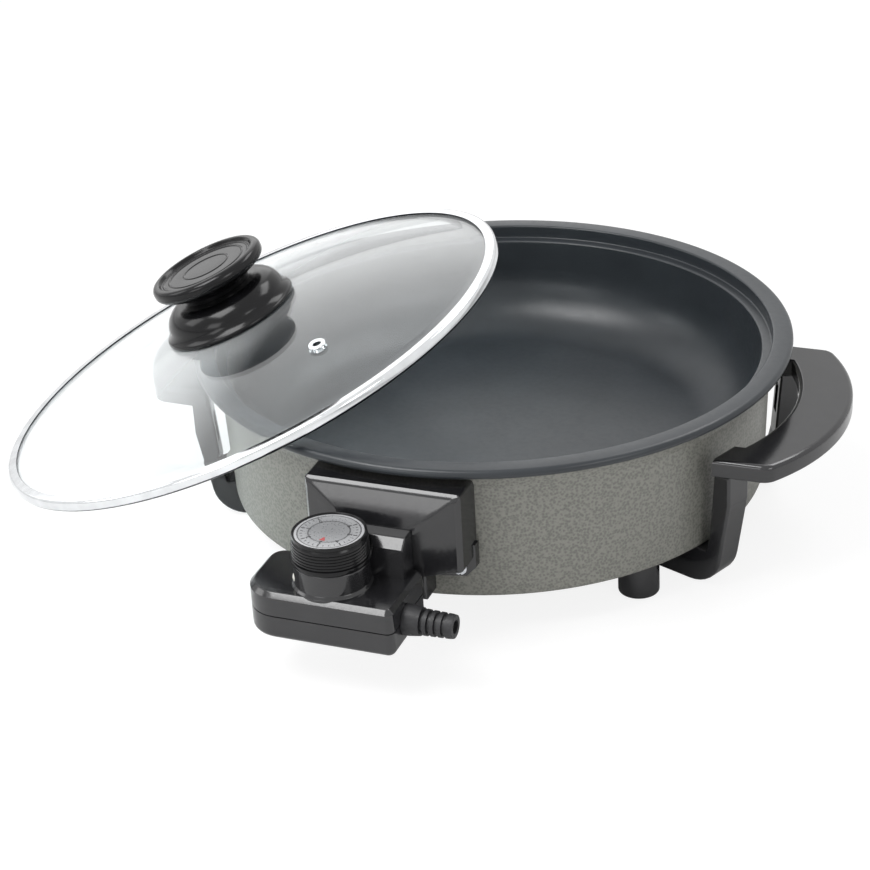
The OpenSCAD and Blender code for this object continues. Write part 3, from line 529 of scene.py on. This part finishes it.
def done(obj, body, slot, *finishes, stands_for=(), angle=35, weighted=True):
    """Smooths a finished piece, gives it its finishes and lets it ride on its body."""
    only(obj)
    bpy.ops.object.shade_smooth_by_angle(angle=math.radians(angle))
    if weighted:
        even = obj.modifiers.new("even", "WEIGHTED_NORMAL")
        even.keep_sharp = True
        bpy.ops.object.modifier_apply(modifier=even.name)
    for material in finishes:
        obj.data.materials.append(material)
    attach(obj, body)
    if stands_for:
        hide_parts(*stands_for)
    return obj


def arc(x, y, r, start, end, steps=8):
    """Points of an arc, in degrees."""
    turns = [math.radians(start + (end - start) * i / steps) for i in range(steps + 1)]
    return [(x + r * math.cos(t), y + r * math.sin(t)) for t in turns]


def rounded(points, radii, steps=6, closed=True):
    """An outline with its corners rounded, each by its own radius."""
    out = []
    count = len(points)
    for i, (p, r) in enumerate(zip(points, radii)):
        if r == 0 or (not closed and i in (0, count - 1)):
            out.append(p)
            continue
        p = Vector(p)
        u = (Vector(points[i - 1]) - p).normalized()
        v = (Vector(points[(i + 1) % count]) - p).normalized()
        half = u.angle(v) / 2
        middle = p + (u + v).normalized() * r / math.sin(half)
        a = p + u * r / math.tan(half) - middle
        b = p + v * r / math.tan(half) - middle
        start = math.atan2(a.y, a.x)
        swing = (math.atan2(b.y, b.x) - start + math.pi) % math.tau - math.pi
        out += arc(middle.x, middle.y, r, math.degrees(start), math.degrees(start + swing), steps)
    return out


# ---- pan ----

def make_pan():
    cove_x, cove_z = LEDGE_R - COVE_R, FLOOR_Z + COVE_R
    outside = rounded(
        [(0, UNDER_Z), (SKIRT_IN_R, UNDER_Z), (SKIRT_IN_R, SKIRT_Z), (SKIRT_R, SKIRT_Z),
         (FLARE_LOW_R, FLARE_Z), (FLARE_R, LIP_LOW), (LIP_R, LIP_LOW), (LIP_R, RIM_Z),
         (SEAT_R, RIM_Z), (SEAT_R, LEDGE_Z), (LEDGE_R, LEDGE_Z), (LEDGE_R, cove_z)],
        [0, 2, 0.8, 2.4, 3, 1.2, 2.4, 2.4, 1.2, 0.8, 1.2, 0], steps=5, closed=False)
    ring_r = 60           # one more ring of points on the flat floor
    inside = arc(cove_x, cove_z, COVE_R, 0, -90, 20)[1:] + [(ring_r, FLOOR_Z), (0, FLOOR_Z)]
    obj = turned("pan_casting", outside + inside, steps=192)
    mode("OBJECT")
    painted, bare = 1, 2  # places in the list of finishes, after the coating
    for face in obj.data.polygons:
        middle = face.center / MM
        radius = math.hypot(middle.x, middle.y)
        outward = (middle.x * face.normal.x + middle.y * face.normal.y) / radius
        if middle.z < UNDER_Z + 0.5 and radius < SKIRT_IN_R + 1:
            face.material_index = bare
        elif (radius > SKIRT_IN_R and middle.z < LIP_LOW - 0.6 and outward > -0.2
              and face.normal.z < 0.5):
            face.material_index = painted
    done(obj, "pan", "coated_casting", COATING, HAMMER, BARE, stands_for=["pan"], weighted=False)


def around(turn, away):
    """The place that lies away from the pan's axis, in the direction of a turn."""
    return Matrix.Rotation(turn, 4, "Z") @ Matrix.Translation((away * MM, 0, 0))


def make_bosses():
    """Screw bosses under the pan, over the feet and over the legs."""
    spots = [(FOOT_AT, turn, FOOT_BOSS_R) for turn in FOOT_TURNS.values()]
    spots += [(LEG_SCREW_AT, turn, LEG_BOSS_R) for turn in LEG_TURNS.values()]
    lap, root, low = 1, 1.5, SKIRT_Z + 0.4       # into the floor, spread at the floor, low end
    made = []
    for away, turn, r in spots:
        profile = rounded([(0, UNDER_Z + lap), (r + root, UNDER_Z + lap), (r, UNDER_Z - root),
                           (r, low), (0, low)], [0, 0, 1, 0.8, 0], closed=False)
        made.append(moved(turned("boss", profile, steps=40), around(turn, away)))
    joined(made)
    done(named("pan_screw_bosses"), "pan", "coated_casting", BARE)


# ---- grips, legs and feet ----

GRIP_TOP, GRIP_LOW, GRIP_END = 79.8, 70, 73
LEG_IN_R, LEG_OUT_R, LEG_W, LEG_FOOT_R = 159.5, 169.5, 17, 119
LEG_TURN = math.asin((GRIP_END - LEG_W / 2) / LEG_OUT_R)
LEG_SCREW_AT, LEG_BOSS_R, GRIP_SCREW_AT = 141.2, 5.8, 162.5
POCKET_PLACE, POCKET_SIZE = (158, 0, 53.1), (9, 7.6, 17.8)
LEG_TURNS = {"leg_rear_right": LEG_TURN, "leg_rear_left": math.pi - LEG_TURN,
             "leg_front_left": math.pi + LEG_TURN, "leg_front_right": -LEG_TURN}
FOOT_AT, FOOT_R, FOOT_BOSS_R, PAD_R, PAD_TOP = 134, 11, 8, 8.5, 3
FOOT_TURNS = {"right_front": math.radians(-37), "middle_front": math.radians(-115),
              "left_rear": math.radians(143), "middle_rear": math.radians(65)}


def leg_corner(side):
    """A corner of a leg's inner face, seen from above."""
    c, s = math.cos(LEG_TURN), math.sin(LEG_TURN)
    return (LEG_IN_R * c - side * LEG_W / 2 * s, LEG_IN_R * s + side * LEG_W / 2 * c)


def make_grip():
    outer_r, corner, outer_x = 118, 9, 199.5
    cx = outer_x - outer_r
    fy = GRIP_END - corner
    fx = cx + math.sqrt((outer_r - corner) ** 2 - fy ** 2)
    fa = math.degrees(math.atan2(fy, fx - cx))
    inner_r, inner_x = 110, 170
    ix = inner_x - inner_r
    back, near = leg_corner(1), leg_corner(-1)
    ia = math.degrees(math.asin(near[1] / inner_r))
    outline = ([(back[0], -GRIP_END)] + arc(fx, -fy, corner, -90, -fa, 8)
               + arc(cx, 0, outer_r, -fa, fa, 40)[1:] + arc(fx, fy, corner, fa, 90, 8)[1:]
               + [(back[0], GRIP_END), back, near] + arc(ix, 0, inner_r, ia, -ia, 36)
               + [(near[0], -near[1]), (back[0], -back[1])])
    obj = slab("grip_right", outline, GRIP_LOW, GRIP_TOP)
    pick("EDGE", at_height(GRIP_TOP))
    soften(2.6, 6)
    pick("EDGE", at_height(GRIP_LOW))
    soften(1.2, 3)
    mode("OBJECT")
    return obj


def make_leg():
    """A leg along +X, with its web to the wall and a pocket on its inner side."""
    low, foot_low, step = SKIRT_Z, 0.8, 3
    side = rounded(
        [(LEG_IN_R, GRIP_LOW), (LEG_IN_R - step, low + 9), (LEG_IN_R - step - 2, low),
         (LEG_FOOT_R, low), (LEG_FOOT_R, foot_low), (LEG_OUT_R - 3 * step, foot_low),
         (LEG_OUT_R, GRIP_LOW * 0.75), (LEG_OUT_R, GRIP_LOW)],
        [0, 2, 2, 1.5, 2.5, 20, 6, 0], steps=8)
    obj = slab("leg_piece", side, -LEG_W / 2, LEG_W / 2)
    # the slab's plan becomes the leg's side view: its height runs along Y
    moved(obj, Matrix(((1, 0, 0, 0), (0, 0, 1, 0), (0, 1, 0, 0), (0, 0, 0, 1))))
    mode("EDIT")
    face_out()
    for y in (-LEG_W / 2, LEG_W / 2):
        pick("EDGE", lambda a, b, y=y: abs(a.y - y) < 0.01 and abs(b.y - y) < 0.01)
        soften(2.2, 5)
    wall, half = WALL_R + SEAT_GAP, 4
    turn = math.degrees(math.asin(half / wall))
    web = slab("leg_web",
               arc(0, 0, wall - 2, -turn, turn, 4) + [(LEG_IN_R, half), (LEG_IN_R, -half)],
               SKIRT_Z + 6, SKIRT_Z + 14)
    joined([obj, web])
    for x, bottom, top in ((LEG_SCREW_AT, -4, 9.5), (GRIP_SCREW_AT, 44.2, 62)):
        cut(obj, rod("well", WELL_R, top - bottom, (x, 0, (top + bottom) / 2), 40))
    deselect()
    bpy.ops.mesh.primitive_cube_add(size=MM)
    place = Matrix.Translation([c * MM for c in POCKET_PLACE])
    pocket = moved(named("pocket"), place @ Matrix.Diagonal((*POCKET_SIZE, 1)))
    return cut(obj, pocket)


def make_grips_and_legs():
    grip = make_grip()
    leg = make_leg()
    for node, turn in LEG_TURNS.items():
        piece = copied(leg, node + "_piece", Matrix.Rotation(turn, 4, "Z"))
        done(piece, "pan", "black_phenolic", GLOSS, stands_for=[node])
    bpy.data.objects.remove(leg)
    left = copied(grip, "grip_left", Matrix.Diagonal((-1, 1, 1, 1)))
    done(grip, "pan", "black_phenolic", GLOSS, stands_for=["handle_right"])
    done(left, "pan", "black_phenolic", GLOSS, stands_for=["handle_left"])


def make_feet():
    low, recess_r, middle = 1, PAD_R + 0.1, 16
    profile = rounded([(WELL_R, middle), (WELL_R, PAD_TOP), (recess_r, PAD_TOP), (recess_r, low),
                       (FOOT_R, low), (FOOT_R, SKIRT_Z), (WELL_R, SKIRT_Z)],
                      [0, 0.5, 0.3, 0.4, 1.2, 0.8, 0], steps=4)
    foot = turned("round_foot", profile, steps=72, ring=True)
    pad_profile = rounded([(0, 0), (PAD_R, 0), (PAD_R, PAD_TOP), (0, PAD_TOP)], [0, 0.9, 0.3, 0],
                          closed=False)
    pad = turned("foot_pad", pad_profile, steps=56)
    mode("OBJECT")
    for where, turn in FOOT_TURNS.items():
        spot = around(turn, FOOT_AT)
        done(copied(foot, "round_foot_" + where, spot), "pan", "black_phenolic", GLOSS,
             stands_for=["round_feet"])
        done(copied(pad, "foot_pad_" + where, spot), "pan", "black_rubber", RUBBER,
             stands_for=["foot_pads"])
    bpy.data.objects.remove(foot)
    bpy.data.objects.remove(pad)


# ---- socket hood ----

HOOD_X, HOOD_Y, NOSE_Y, HOOD_LOW, HOOD_TOP = 42, 169, 175, 49.5, 93.5
NOSE_X, NOSE_LOW, NOSE_TOP = 19.5, 45, 75
SOCKET_Y = 165.5
FLANGE_X, FLANGE_T, FLANGE_LOW, FLANGE_TOP, FLANGE_CUT_X = 43, 5, 39.5, 57.5, 38
CHIN_X, CHIN_Y, CHIN_LOW = 19.3, 163.3, 27


def wall_arc(half, radius, steps=14):
    """Points along the wall in front, from left to right."""
    a = math.degrees(math.asin(half / radius))
    return [(radius * math.sin(math.radians(t)), -radius * math.cos(math.radians(t)))
            for t in [-a + 2 * a * i / steps for i in range(steps + 1)]]


def make_hood():
    near = WALL_R + SEAT_GAP
    block = slab("socket_hood_piece",
                 wall_arc(HOOD_X, near) + [(HOOD_X, -HOOD_Y), (-HOOD_X, -HOOD_Y)],
                 HOOD_LOW, HOOD_TOP)
    # the nose: the front face goes forward, shrinks and sinks
    pick("FACE", lambda c, n: n.y < -0.9 and abs(c.y + HOOD_Y) < 0.1)
    bpy.ops.mesh.extrude_region_move(
        TRANSFORM_OT_translate={"value": (0, -(NOSE_Y - HOOD_Y) * MM, 0)})
    middle, nose_middle = (HOOD_LOW + HOOD_TOP) / 2, (NOSE_LOW + NOSE_TOP) / 2
    shrink = (NOSE_X / HOOD_X, 1, (NOSE_TOP - NOSE_LOW) / (HOOD_TOP - HOOD_LOW))
    bpy.ops.transform.resize(value=shrink, center_override=(0, -NOSE_Y * MM, middle * MM))
    bpy.ops.transform.translate(value=(0, 0, (nose_middle - middle) * MM))
    pick("EDGE", lambda a, b: (a.y < -HOOD_Y + 0.1 and b.y < -HOOD_Y + 0.1
                               and not (a.y < -NOSE_Y + 0.1 and b.y < -NOSE_Y + 0.1)))
    soften(2.4, 1)
    pick("EDGE", lambda a, b: (abs(abs(a.x) - HOOD_X) < 0.1 and abs(a.x - b.x) < 0.1
                               and abs(a.z - b.z) < 0.1 and abs(a.y - b.y) > 5))
    soften(1.8, 4)
    pick("FACE", lambda c, n: n.y < -0.9 and abs(c.y + NOSE_Y) < 0.1)
    bpy.ops.mesh.inset(thickness=2.8 * MM)
    bpy.ops.mesh.extrude_region_move(
        TRANSFORM_OT_translate={"value": (0, (NOSE_Y - SOCKET_Y) * MM, 0)})
    flange = slab("hood_flange",
                  wall_arc(FLANGE_X, near) + wall_arc(FLANGE_X, near + FLANGE_T)[::-1],
                  FLANGE_LOW, FLANGE_TOP)
    for side in (-1, 1):
        bpy.ops.mesh.select_all(action="SELECT")
        bpy.ops.mesh.bisect(plane_co=(side * FLANGE_CUT_X * MM, 0, FLANGE_LOW * MM),
                            plane_no=(side * 0.7, 0, -0.7), use_fill=True, clear_outer=True)
    chin = slab("hood_chin",
                wall_arc(CHIN_X, WALL_R - 2.4, 6) + [(CHIN_X, -CHIN_Y), (-CHIN_X, -CHIN_Y)],
                CHIN_LOW, HOOD_LOW + 1)
    pick("EDGE", lambda a, b: max(a.y, b.y) < -CHIN_Y + 0.3)
    soften(2, 4)
    joined([block, flange, chin])
    done(block, "pan", "black_phenolic", GLOSS, stands_for=["socket_hood"])


# ---- control ----

def make_housing():
    """The control's two halves, with a fine groove where they meet."""
    plan = rounded([(BOX_RIGHT, BOX_FRONT), (BOX_RIGHT, BOX_BACK), (BOX_LEFT, BOX_BACK),
                    (BOX_LEFT, BOX_FRONT)], [4, 4, 9, 18], steps=10)
    groove = 0.15         # half its width
    top = slab("control_housing_top", plan, SEAM_Z + groove, BOX_TOP)
    pick("EDGE", at_height(BOX_TOP))
    soften(2.4, 1)
    pick("EDGE", at_height(BOX_TOP))
    soften(0.5, 2)
    pick("EDGE", at_height(SEAM_Z + groove))
    soften(0.5, 2)
    bottom = slab("control_housing_bottom", plan, BOX_LOW, SEAM_Z - groove)
    pick("EDGE", at_height(BOX_LOW))
    soften(3, 6)
    pick("EDGE", at_height(SEAM_Z - groove))
    soften(0.5, 2)
    low = BOX_TOP - 1
    collar = turned("collar", rounded(
        [(0, low), (COLLAR_R + 1.2, low), (COLLAR_R + 1.2, BOX_TOP + 0.2),
         (COLLAR_R, BOX_TOP + 1.6), (COLLAR_R, COLLAR_TOP), (0, COLLAR_TOP)],
        [0, 0, 0.5, 1, 0.8, 0], closed=False), steps=112)
    moved(collar, Matrix.Translation(DIAL * MM))
    neck = slab("neck", [(-NECK_X, BOX_BACK), (-NECK_X, NECK_FRONT), (NECK_X, NECK_FRONT),
                         (NECK_X, BOX_BACK)], low, NECK_TOP)
    pick("EDGE", lambda a, b: at_height(NECK_TOP)(a, b) and max(a.y, b.y) < BOX_BACK - 8)
    soften(4.6, 1)
    pick("EDGE", lambda a, b: max(a.z, b.z) > NECK_TOP - 0.1)
    soften(0.8, 3)
    cut(neck, rod("dial_room", DIAL_R + 0.6, 20, (DIAL.x, DIAL.y, DIAL_LOW + 9.5), 96))
    joined([top, collar, neck])
    done(top, "control", "black_phenolic", GLOSS, stands_for=["control_top"])
    done(bottom, "control", "black_phenolic", GLOSS, stands_for=["control_bottom"])


def make_lens():
    profile = rounded([(0, 0), (2.2, 0), (2.2, 3.2), (0, 3.9)], [0, 0, 0.8, 0], closed=False)
    obj = turned("pilot_lens_piece", profile, steps=40)
    foot = DIAL + Vector((0, 0, BOX_TOP + LENS_UP))
    place = (Matrix.Translation(foot * MM) @ Matrix.Rotation(LENS_TURN, 4, "Z")
             @ Matrix.Translation((LENS_AT * MM, 0, 0)) @ Matrix.Rotation(math.pi / 2, 4, "Y"))
    done(moved(obj, place), "control", "clear_lens", LENS, stands_for=["pilot_lens"])


def make_relief():
    """Ribbed strain relief around the open cord hole."""
    bore_r, end, ribs, pitch = 3.5, 26.1, 4, 3.9
    points = [(bore_r, 0), (bore_r, end), (6.0, end), (6.3, 24.2)]
    z = 24.2
    for i in range(ribs):
        r = 6.3 + 0.14 * i
        points += [(r, z), (r + 0.05, z - 1.9), (5.2, z - 2.2), (5.2, z - 3.6)]
        z -= pitch
    points += [(7.2, z + 0.2), (8.0, 3.0), (8.0, 0.1)]
    obj = turned("strain_relief_piece", points, steps=72, ring=True)
    place = (Matrix.Translation((BOX_RIGHT * MM, RELIEF_Y * MM, RELIEF_Z * MM))
             @ Matrix.Rotation(math.pi / 2, 4, "Y"))
    done(moved(obj, place), "control", "black_rubber", RUBBER, stands_for=["strain_relief"])


# ---- dial ----

def make_dial():
    """Turned dial that narrows upwards, with fine rings round its grip and a raised rim."""
    rim_in, top_r, recess = DIAL_R - 2.5, DIAL_R - 1.5, DIAL_TOP - 1.4
    pitch, groove, taper = 1.6, 0.25, 0.07
    side = [(DIAL_R - 0.3, DIAL_LOW), (DIAL_R, DIAL_LOW + 0.6), (DIAL_R, DIAL_LOW + 2.4)]
    z = DIAL_LOW + 2.4
    while z < DIAL_TOP - 3.4:
        r = DIAL_R - 0.35 - (z - DIAL_LOW) * taper
        side += [(r - groove, z + 0.15), (r - groove, z + 0.75), (r, z + 0.9), (r, z + pitch)]
        z += pitch
    side += [(top_r - 0.2, DIAL_TOP - 2.0), (top_r, DIAL_TOP - 1.7), (top_r, DIAL_TOP),
             (rim_in, DIAL_TOP), (rim_in, recess), (0, recess)]
    obj = turned("dial_knob_piece", [(0, DIAL_LOW)] + side, steps=128)
    pick("EDGE", lambda a, b: at_height(DIAL_TOP)(a, b)
         and abs(math.hypot(a.x, a.y) - math.hypot(b.x, b.y)) < 0.01)
    soften(0.3, 3)
    tidy()
    moved(obj, Matrix.Translation(DIAL * MM))
    done(obj, "dial", "black_phenolic", SATIN, stands_for=["dial_knob"], angle=28)

    disc = turned("dial_disc", rounded([(0, DIAL_TOP - 1.5), (rim_in - 0.2, DIAL_TOP - 1.5),
                                        (rim_in - 0.2, DIAL_TOP - 0.7), (0, DIAL_TOP - 0.7)],
                                       [0, 0, 0.2, 0], closed=False), steps=112)
    moved(disc, Matrix.Translation(DIAL * MM))
    done(disc, "dial", "dial_print", FACE, stands_for=["dial_scale"])


def make_dial_print():
    """Ticks and plain figures on the disc, and the red mark of the highest setting."""
    made = []
    top, spaces, tick_at, figure_at = DIAL_TOP - 0.66, 24, 14.0, 10.9
    for i in range(spaces + 1):
        turn = math.radians(SCALE_START + i * SCALE_SWEEP / spaces)
        long = i % 4 == 0
        deselect()
        bpy.ops.mesh.primitive_cube_add(size=MM)
        tick = named("tick")
        size = Matrix.Diagonal((2.2 if long else 1.2, 0.5 if long else 0.3, 0.12, 1))
        place = (Matrix.Translation(DIAL * MM) @ Matrix.Rotation(turn, 4, "Z")
                 @ Matrix.Translation((tick_at * MM, 0, top * MM)) @ size)
        made.append(moved(tick, place))
    for i, figure in enumerate("0123456"):
        turn = math.radians(SCALE_START + i * 45)
        deselect()
        bpy.ops.object.text_add()
        text = bpy.context.object
        text.data.body = figure
        text.data.align_x, text.data.align_y = "CENTER", "CENTER"
        text.data.size, text.data.extrude = 3.6 * MM, 0.06 * MM
        bpy.ops.object.convert(target="MESH")
        place = (Matrix.Translation(DIAL * MM) @ Matrix.Rotation(turn, 4, "Z")
                 @ Matrix.Translation((figure_at * MM, 0, top * MM))
                 @ Matrix.Rotation(-math.pi / 2, 4, "Z"))
        made.append(moved(named("figure"), place))
    joined(made)
    done(named("dial_print_marks"), "dial", "dial_print", INK, weighted=False)
    arrow = rounded([(-1.6, -9.0), (1.6, -9.0), (0, -5.4)], [0.2] * 3)
    mark = slab("dial_print_hot", arrow, top - 0.05, top + 0.06)
    moved(mark, Matrix.Translation(DIAL * MM))
    done(mark, "dial", "dial_print", RED_INK, weighted=False)


# ---- lid ----

def dome(radius, start, end, steps):
    """Points on a sphere about the dome's centre, from one radius to another."""
    a, b = math.acos(start / radius), math.acos(end / radius)
    turns = [a + (b - a) * i / steps for i in range(steps + 1)]
    return [(radius * math.cos(t), SPHERE_Z + radius * math.sin(t)) for t in turns]


def make_glass():
    inner = SPHERE_R - GLASS_T
    foot_r = math.sqrt(inner ** 2 - (GLASS_RIM_Z - SPHERE_Z) ** 2)
    edge = LID_R - BAND_T - 0.4
    profile = ([(foot_r, GLASS_RIM_Z), (edge, GLASS_RIM_Z), (edge, GLASS_RIM_Z + GLASS_T)]
               + dome(SPHERE_R, DOME_R, 4, 26) + dome(inner, 4, foot_r, 26)[:-1])
    obj = turned("lid_glass_dome", profile, steps=144, ring=True)
    hole = rod("vent_hole", VENT_R, 20, (0, 0, SPHERE_R - 2), 48)
    bpy.ops.object.transform_apply(location=True)
    lean = math.asin(VENT_AT / SPHERE_R)
    aim = (Matrix.Rotation(VENT_TURN, 4, "Z") @ Matrix.Translation((0, 0, SPHERE_Z * MM))
           @ Matrix.Rotation(lean, 4, "Y"))
    cut(obj, moved(hole, aim))
    moved(obj, LID_MATRIX)
    done(obj, "lid", "lid_glass", GLASS, stands_for=["lid_glass"], angle=40, weighted=False)

    bore_r, sleeve_r, flange_r, gap, out = 2.2, 3.2, 5, 0.2, 1.2
    low, high = inner, SPHERE_R
    sleeve = rounded([(bore_r, low - out), (flange_r, low - out), (flange_r, low - gap),
                      (sleeve_r, low - gap), (sleeve_r, high + gap), (flange_r, high + gap),
                      (flange_r, high + out), (bore_r, high + out)],
                     [0.4, 0.5, 0, 0, 0, 0, 0.6, 0.6], steps=4)
    eyelet = turned("vent_eyelet_piece", sleeve, steps=56, ring=True)
    moved(eyelet, LID_MATRIX @ aim)
    done(eyelet, "lid", "lid_steel", CHROME, stands_for=["vent_eyelet"])


def make_band():
    """Rolled channel of bright steel around the glass's edge."""
    top = GLASS_RIM_Z + GLASS_T + 0.3
    inner = LID_R - 6
    profile = rounded([(inner, 0), (LID_R, 0), (LID_R, top + BAND_T), (inner, top + BAND_T),
                       (inner, top), (LID_R - BAND_T, top), (LID_R - BAND_T, BAND_T),
                       (inner, BAND_T)],
                      [0.3, 2.0, 2.0, 0.3, 0.3, 1.1, 1.1, 0.3], steps=5)
    obj = turned("lid_band_piece", profile, steps=192, ring=True)
    mode("OBJECT")
    for face in obj.data.polygons:
        middle = face.center
        if middle.z < 1.3 * MM or math.hypot(middle.x, middle.y) < (inner + 0.2) * MM:
            face.material_index = 1      # the underside and inner edge in dark steel: painted shade and painted dark reflection
    moved(obj, LID_MATRIX)
    done(obj, "lid", "lid_steel", CHROME, BAND_PAINTED_SHADE, stands_for=["lid_band"])


def make_knob():
    knob_z, neck_z, cap_top = 27.2, 45.2, 61.2
    base_r, neck_r, top_r = 38.5, 20.5, 33
    lip = 1.8
    skirt = ([(0, knob_z + 0.9), (base_r - 5, knob_z + 0.5)]
             + arc(base_r - lip, knob_z + lip, lip, -90, 70, 10)
             + arc(neck_r + 2, knob_z + 4.6, base_r - neck_r - 5, 8, 84, 14)
             + [(neck_r + 1, neck_z - 0.6), (neck_r, neck_z), (0, neck_z)])
    base = turned("knob_base_piece", skirt, steps=128)
    moved(base, LID_MATRIX)
    done(base, "lid", "black_phenolic", SATIN, stands_for=["knob_base"], weighted=False)
    ring_radii, dish = (26.0, 22.4, 13.4), cap_top - 2
    rings = []
    for r in ring_radii:
        rings += [(r + 0.8, dish), (r, cap_top - 1.45), (r - 0.8, dish)]
    cap = rounded([(0, neck_z + 0.05), (neck_r - 1.2, neck_z + 0.05), (neck_r - 0.6, neck_z + 3),
                   (top_r - 6, neck_z + 6.2), (top_r, neck_z + 9.2), (top_r, cap_top),
                   (top_r - 4.4, cap_top), (top_r - 5.6, dish)] + rings
                  + [(6, cap_top - 2.1), (0, cap_top - 2.1)],
                  [0, 0.4, 1, 6, 3.6, 3.2, 1, 0.8] + [0.5] * 3 * len(ring_radii) + [0, 0],
                  steps=5, closed=False)
    top = turned("knob_cap_piece", cap, steps=112)
    moved(top, LID_MATRIX)
    done(top, "lid", "black_phenolic", SATIN, stands_for=["knob_cap"], weighted=False)


make_pan()
make_bosses()
make_grips_and_legs()
make_feet()
make_hood()
make_housing()
make_lens()
make_relief()
make_dial()
make_dial_print()
make_glass()
make_band()
make_knob()

CAD_FINISHES = {
    ZINC: ["element_clips", "clip_screws", "terminal_pins", "hood_screws", "handle_screws",
           "leg_screws", "foot_screws", "control_screws", "probe", "thermostat_frame",
           "cord_clamp", "dial_spindle", "knob_screw"],
    SHEATH: ["heating_element"],
    CERAMIC: ["pin_bushes"],
    NYLON: ["plug_nose"],
    BRASS: ["receptacles", "spindle_bush", "fixed_contact", "knob_insert"],
    BRONZE: ["bimetal", "contact_arm"],
    LENS: ["pilot_lamp", "knob_washer"],
}
for material, names in CAD_FINISHES.items():
    for name in names:
        for held in nodes[name].material_slots:
            held.material = material


# ---- floor, lights and background ----

def make_stage():
    """A white floor, 12 m wide, that glows a little where it is seen, so that it stays white and
    still takes shadows, and a world that is white to look at and dimmer as a light."""
    glow_share, world_light = 0.78, 0.42
    deselect()
    bpy.ops.mesh.primitive_plane_add(size=12)
    floor = named("floor")
    material, tree, shader = surface("floor_white_paper", Base_Color=linear("#f4f4f4"),
                                     Roughness=0.9, Specular_IOR_Level=0.1)
    path = add(tree, "ShaderNodeLightPath").outputs
    seen = add(tree, "ShaderNodeMath", {"operation": "MAXIMUM"}, i0=path["Is Camera Ray"],
               i1=path["Is Transmission Ray"]).outputs["Value"]
    share = add(tree, "ShaderNodeMath", {"operation": "MULTIPLY"}, i0=seen,
                i1=glow_share).outputs["Value"]
    glow = add(tree, "ShaderNodeEmission", Color=linear("#ffffff"), Strength=1.1)
    both = add(tree, "ShaderNodeMixShader", i0=share, i1=shader.outputs["BSDF"],
               i2=glow.outputs["Emission"])
    wire(tree, tree.nodes["Material Output"], Surface=both.outputs["Shader"])
    floor.data.materials.append(material)

    world = bpy.data.worlds.new("studio")
    bpy.context.scene.world = world
    world.use_nodes = True
    tree = world.node_tree
    path = add(tree, "ShaderNodeLightPath").outputs
    seen = path["Is Camera Ray"]
    for other in ("Is Glossy Ray", "Is Transmission Ray"):
        seen = add(tree, "ShaderNodeMath", {"operation": "MAXIMUM"}, i0=seen,
                   i1=path[other]).outputs["Value"]
    strength = add(tree, "ShaderNodeMapRange", Value=seen, To_Min=world_light,
                   To_Max=1.0).outputs["Result"]
    back = tree.nodes["Background"]
    back.inputs["Color"].default_value = (1, 1, 1, 1)
    tree.links.new(strength, back.inputs["Strength"])


def lamp(name, place, aim, width, length, power):
    """An area light that faces a point, in metres and watts."""
    data = bpy.data.lights.new(name, "AREA")
    data.shape, data.size, data.size_y, data.energy = "RECTANGLE", width, length, power
    obj = bpy.data.objects.new(name, data)
    bpy.context.scene.collection.objects.link(obj)
    obj.location = place
    obj.rotation_euler = (Vector(aim) - Vector(place)).to_track_quat("-Z", "Y").to_euler()
    return obj


make_stage()
lamp("softbox_above", (-0.55, -0.7, 1.47), (0, 0, 0.05), 0.9, 0.75, 17.5)
lamp("softbox_back", (0.5, 0.9, 1.5), (0, 0, 0.05), 1.2, 0.5, 9)
lamp("softbox_left", (-1.6, -0.5, 0.9), (0, 0, 0.05), 0.7, 0.7, 4)
lamp("softbox_front", (-0.38, -1.37, 0.5), (0, 0, 0.07), 0.6, 0.4, 2.2)
lamp("softbox_right", (1.3, -0.8, 0.7), (0, 0, 0.05), 0.5, 0.5, 3)
# a pale card behind, for gloss and glass to mirror: it lights no matte surface
card = lamp("card_back_left", (-1.55, 1.8, 1.45), (-0.12, 0, 0.1), 2.6, 2.2, 11)
card.visible_diffuse = False

bpy.context.scene.view_settings.view_transform = "Standard"
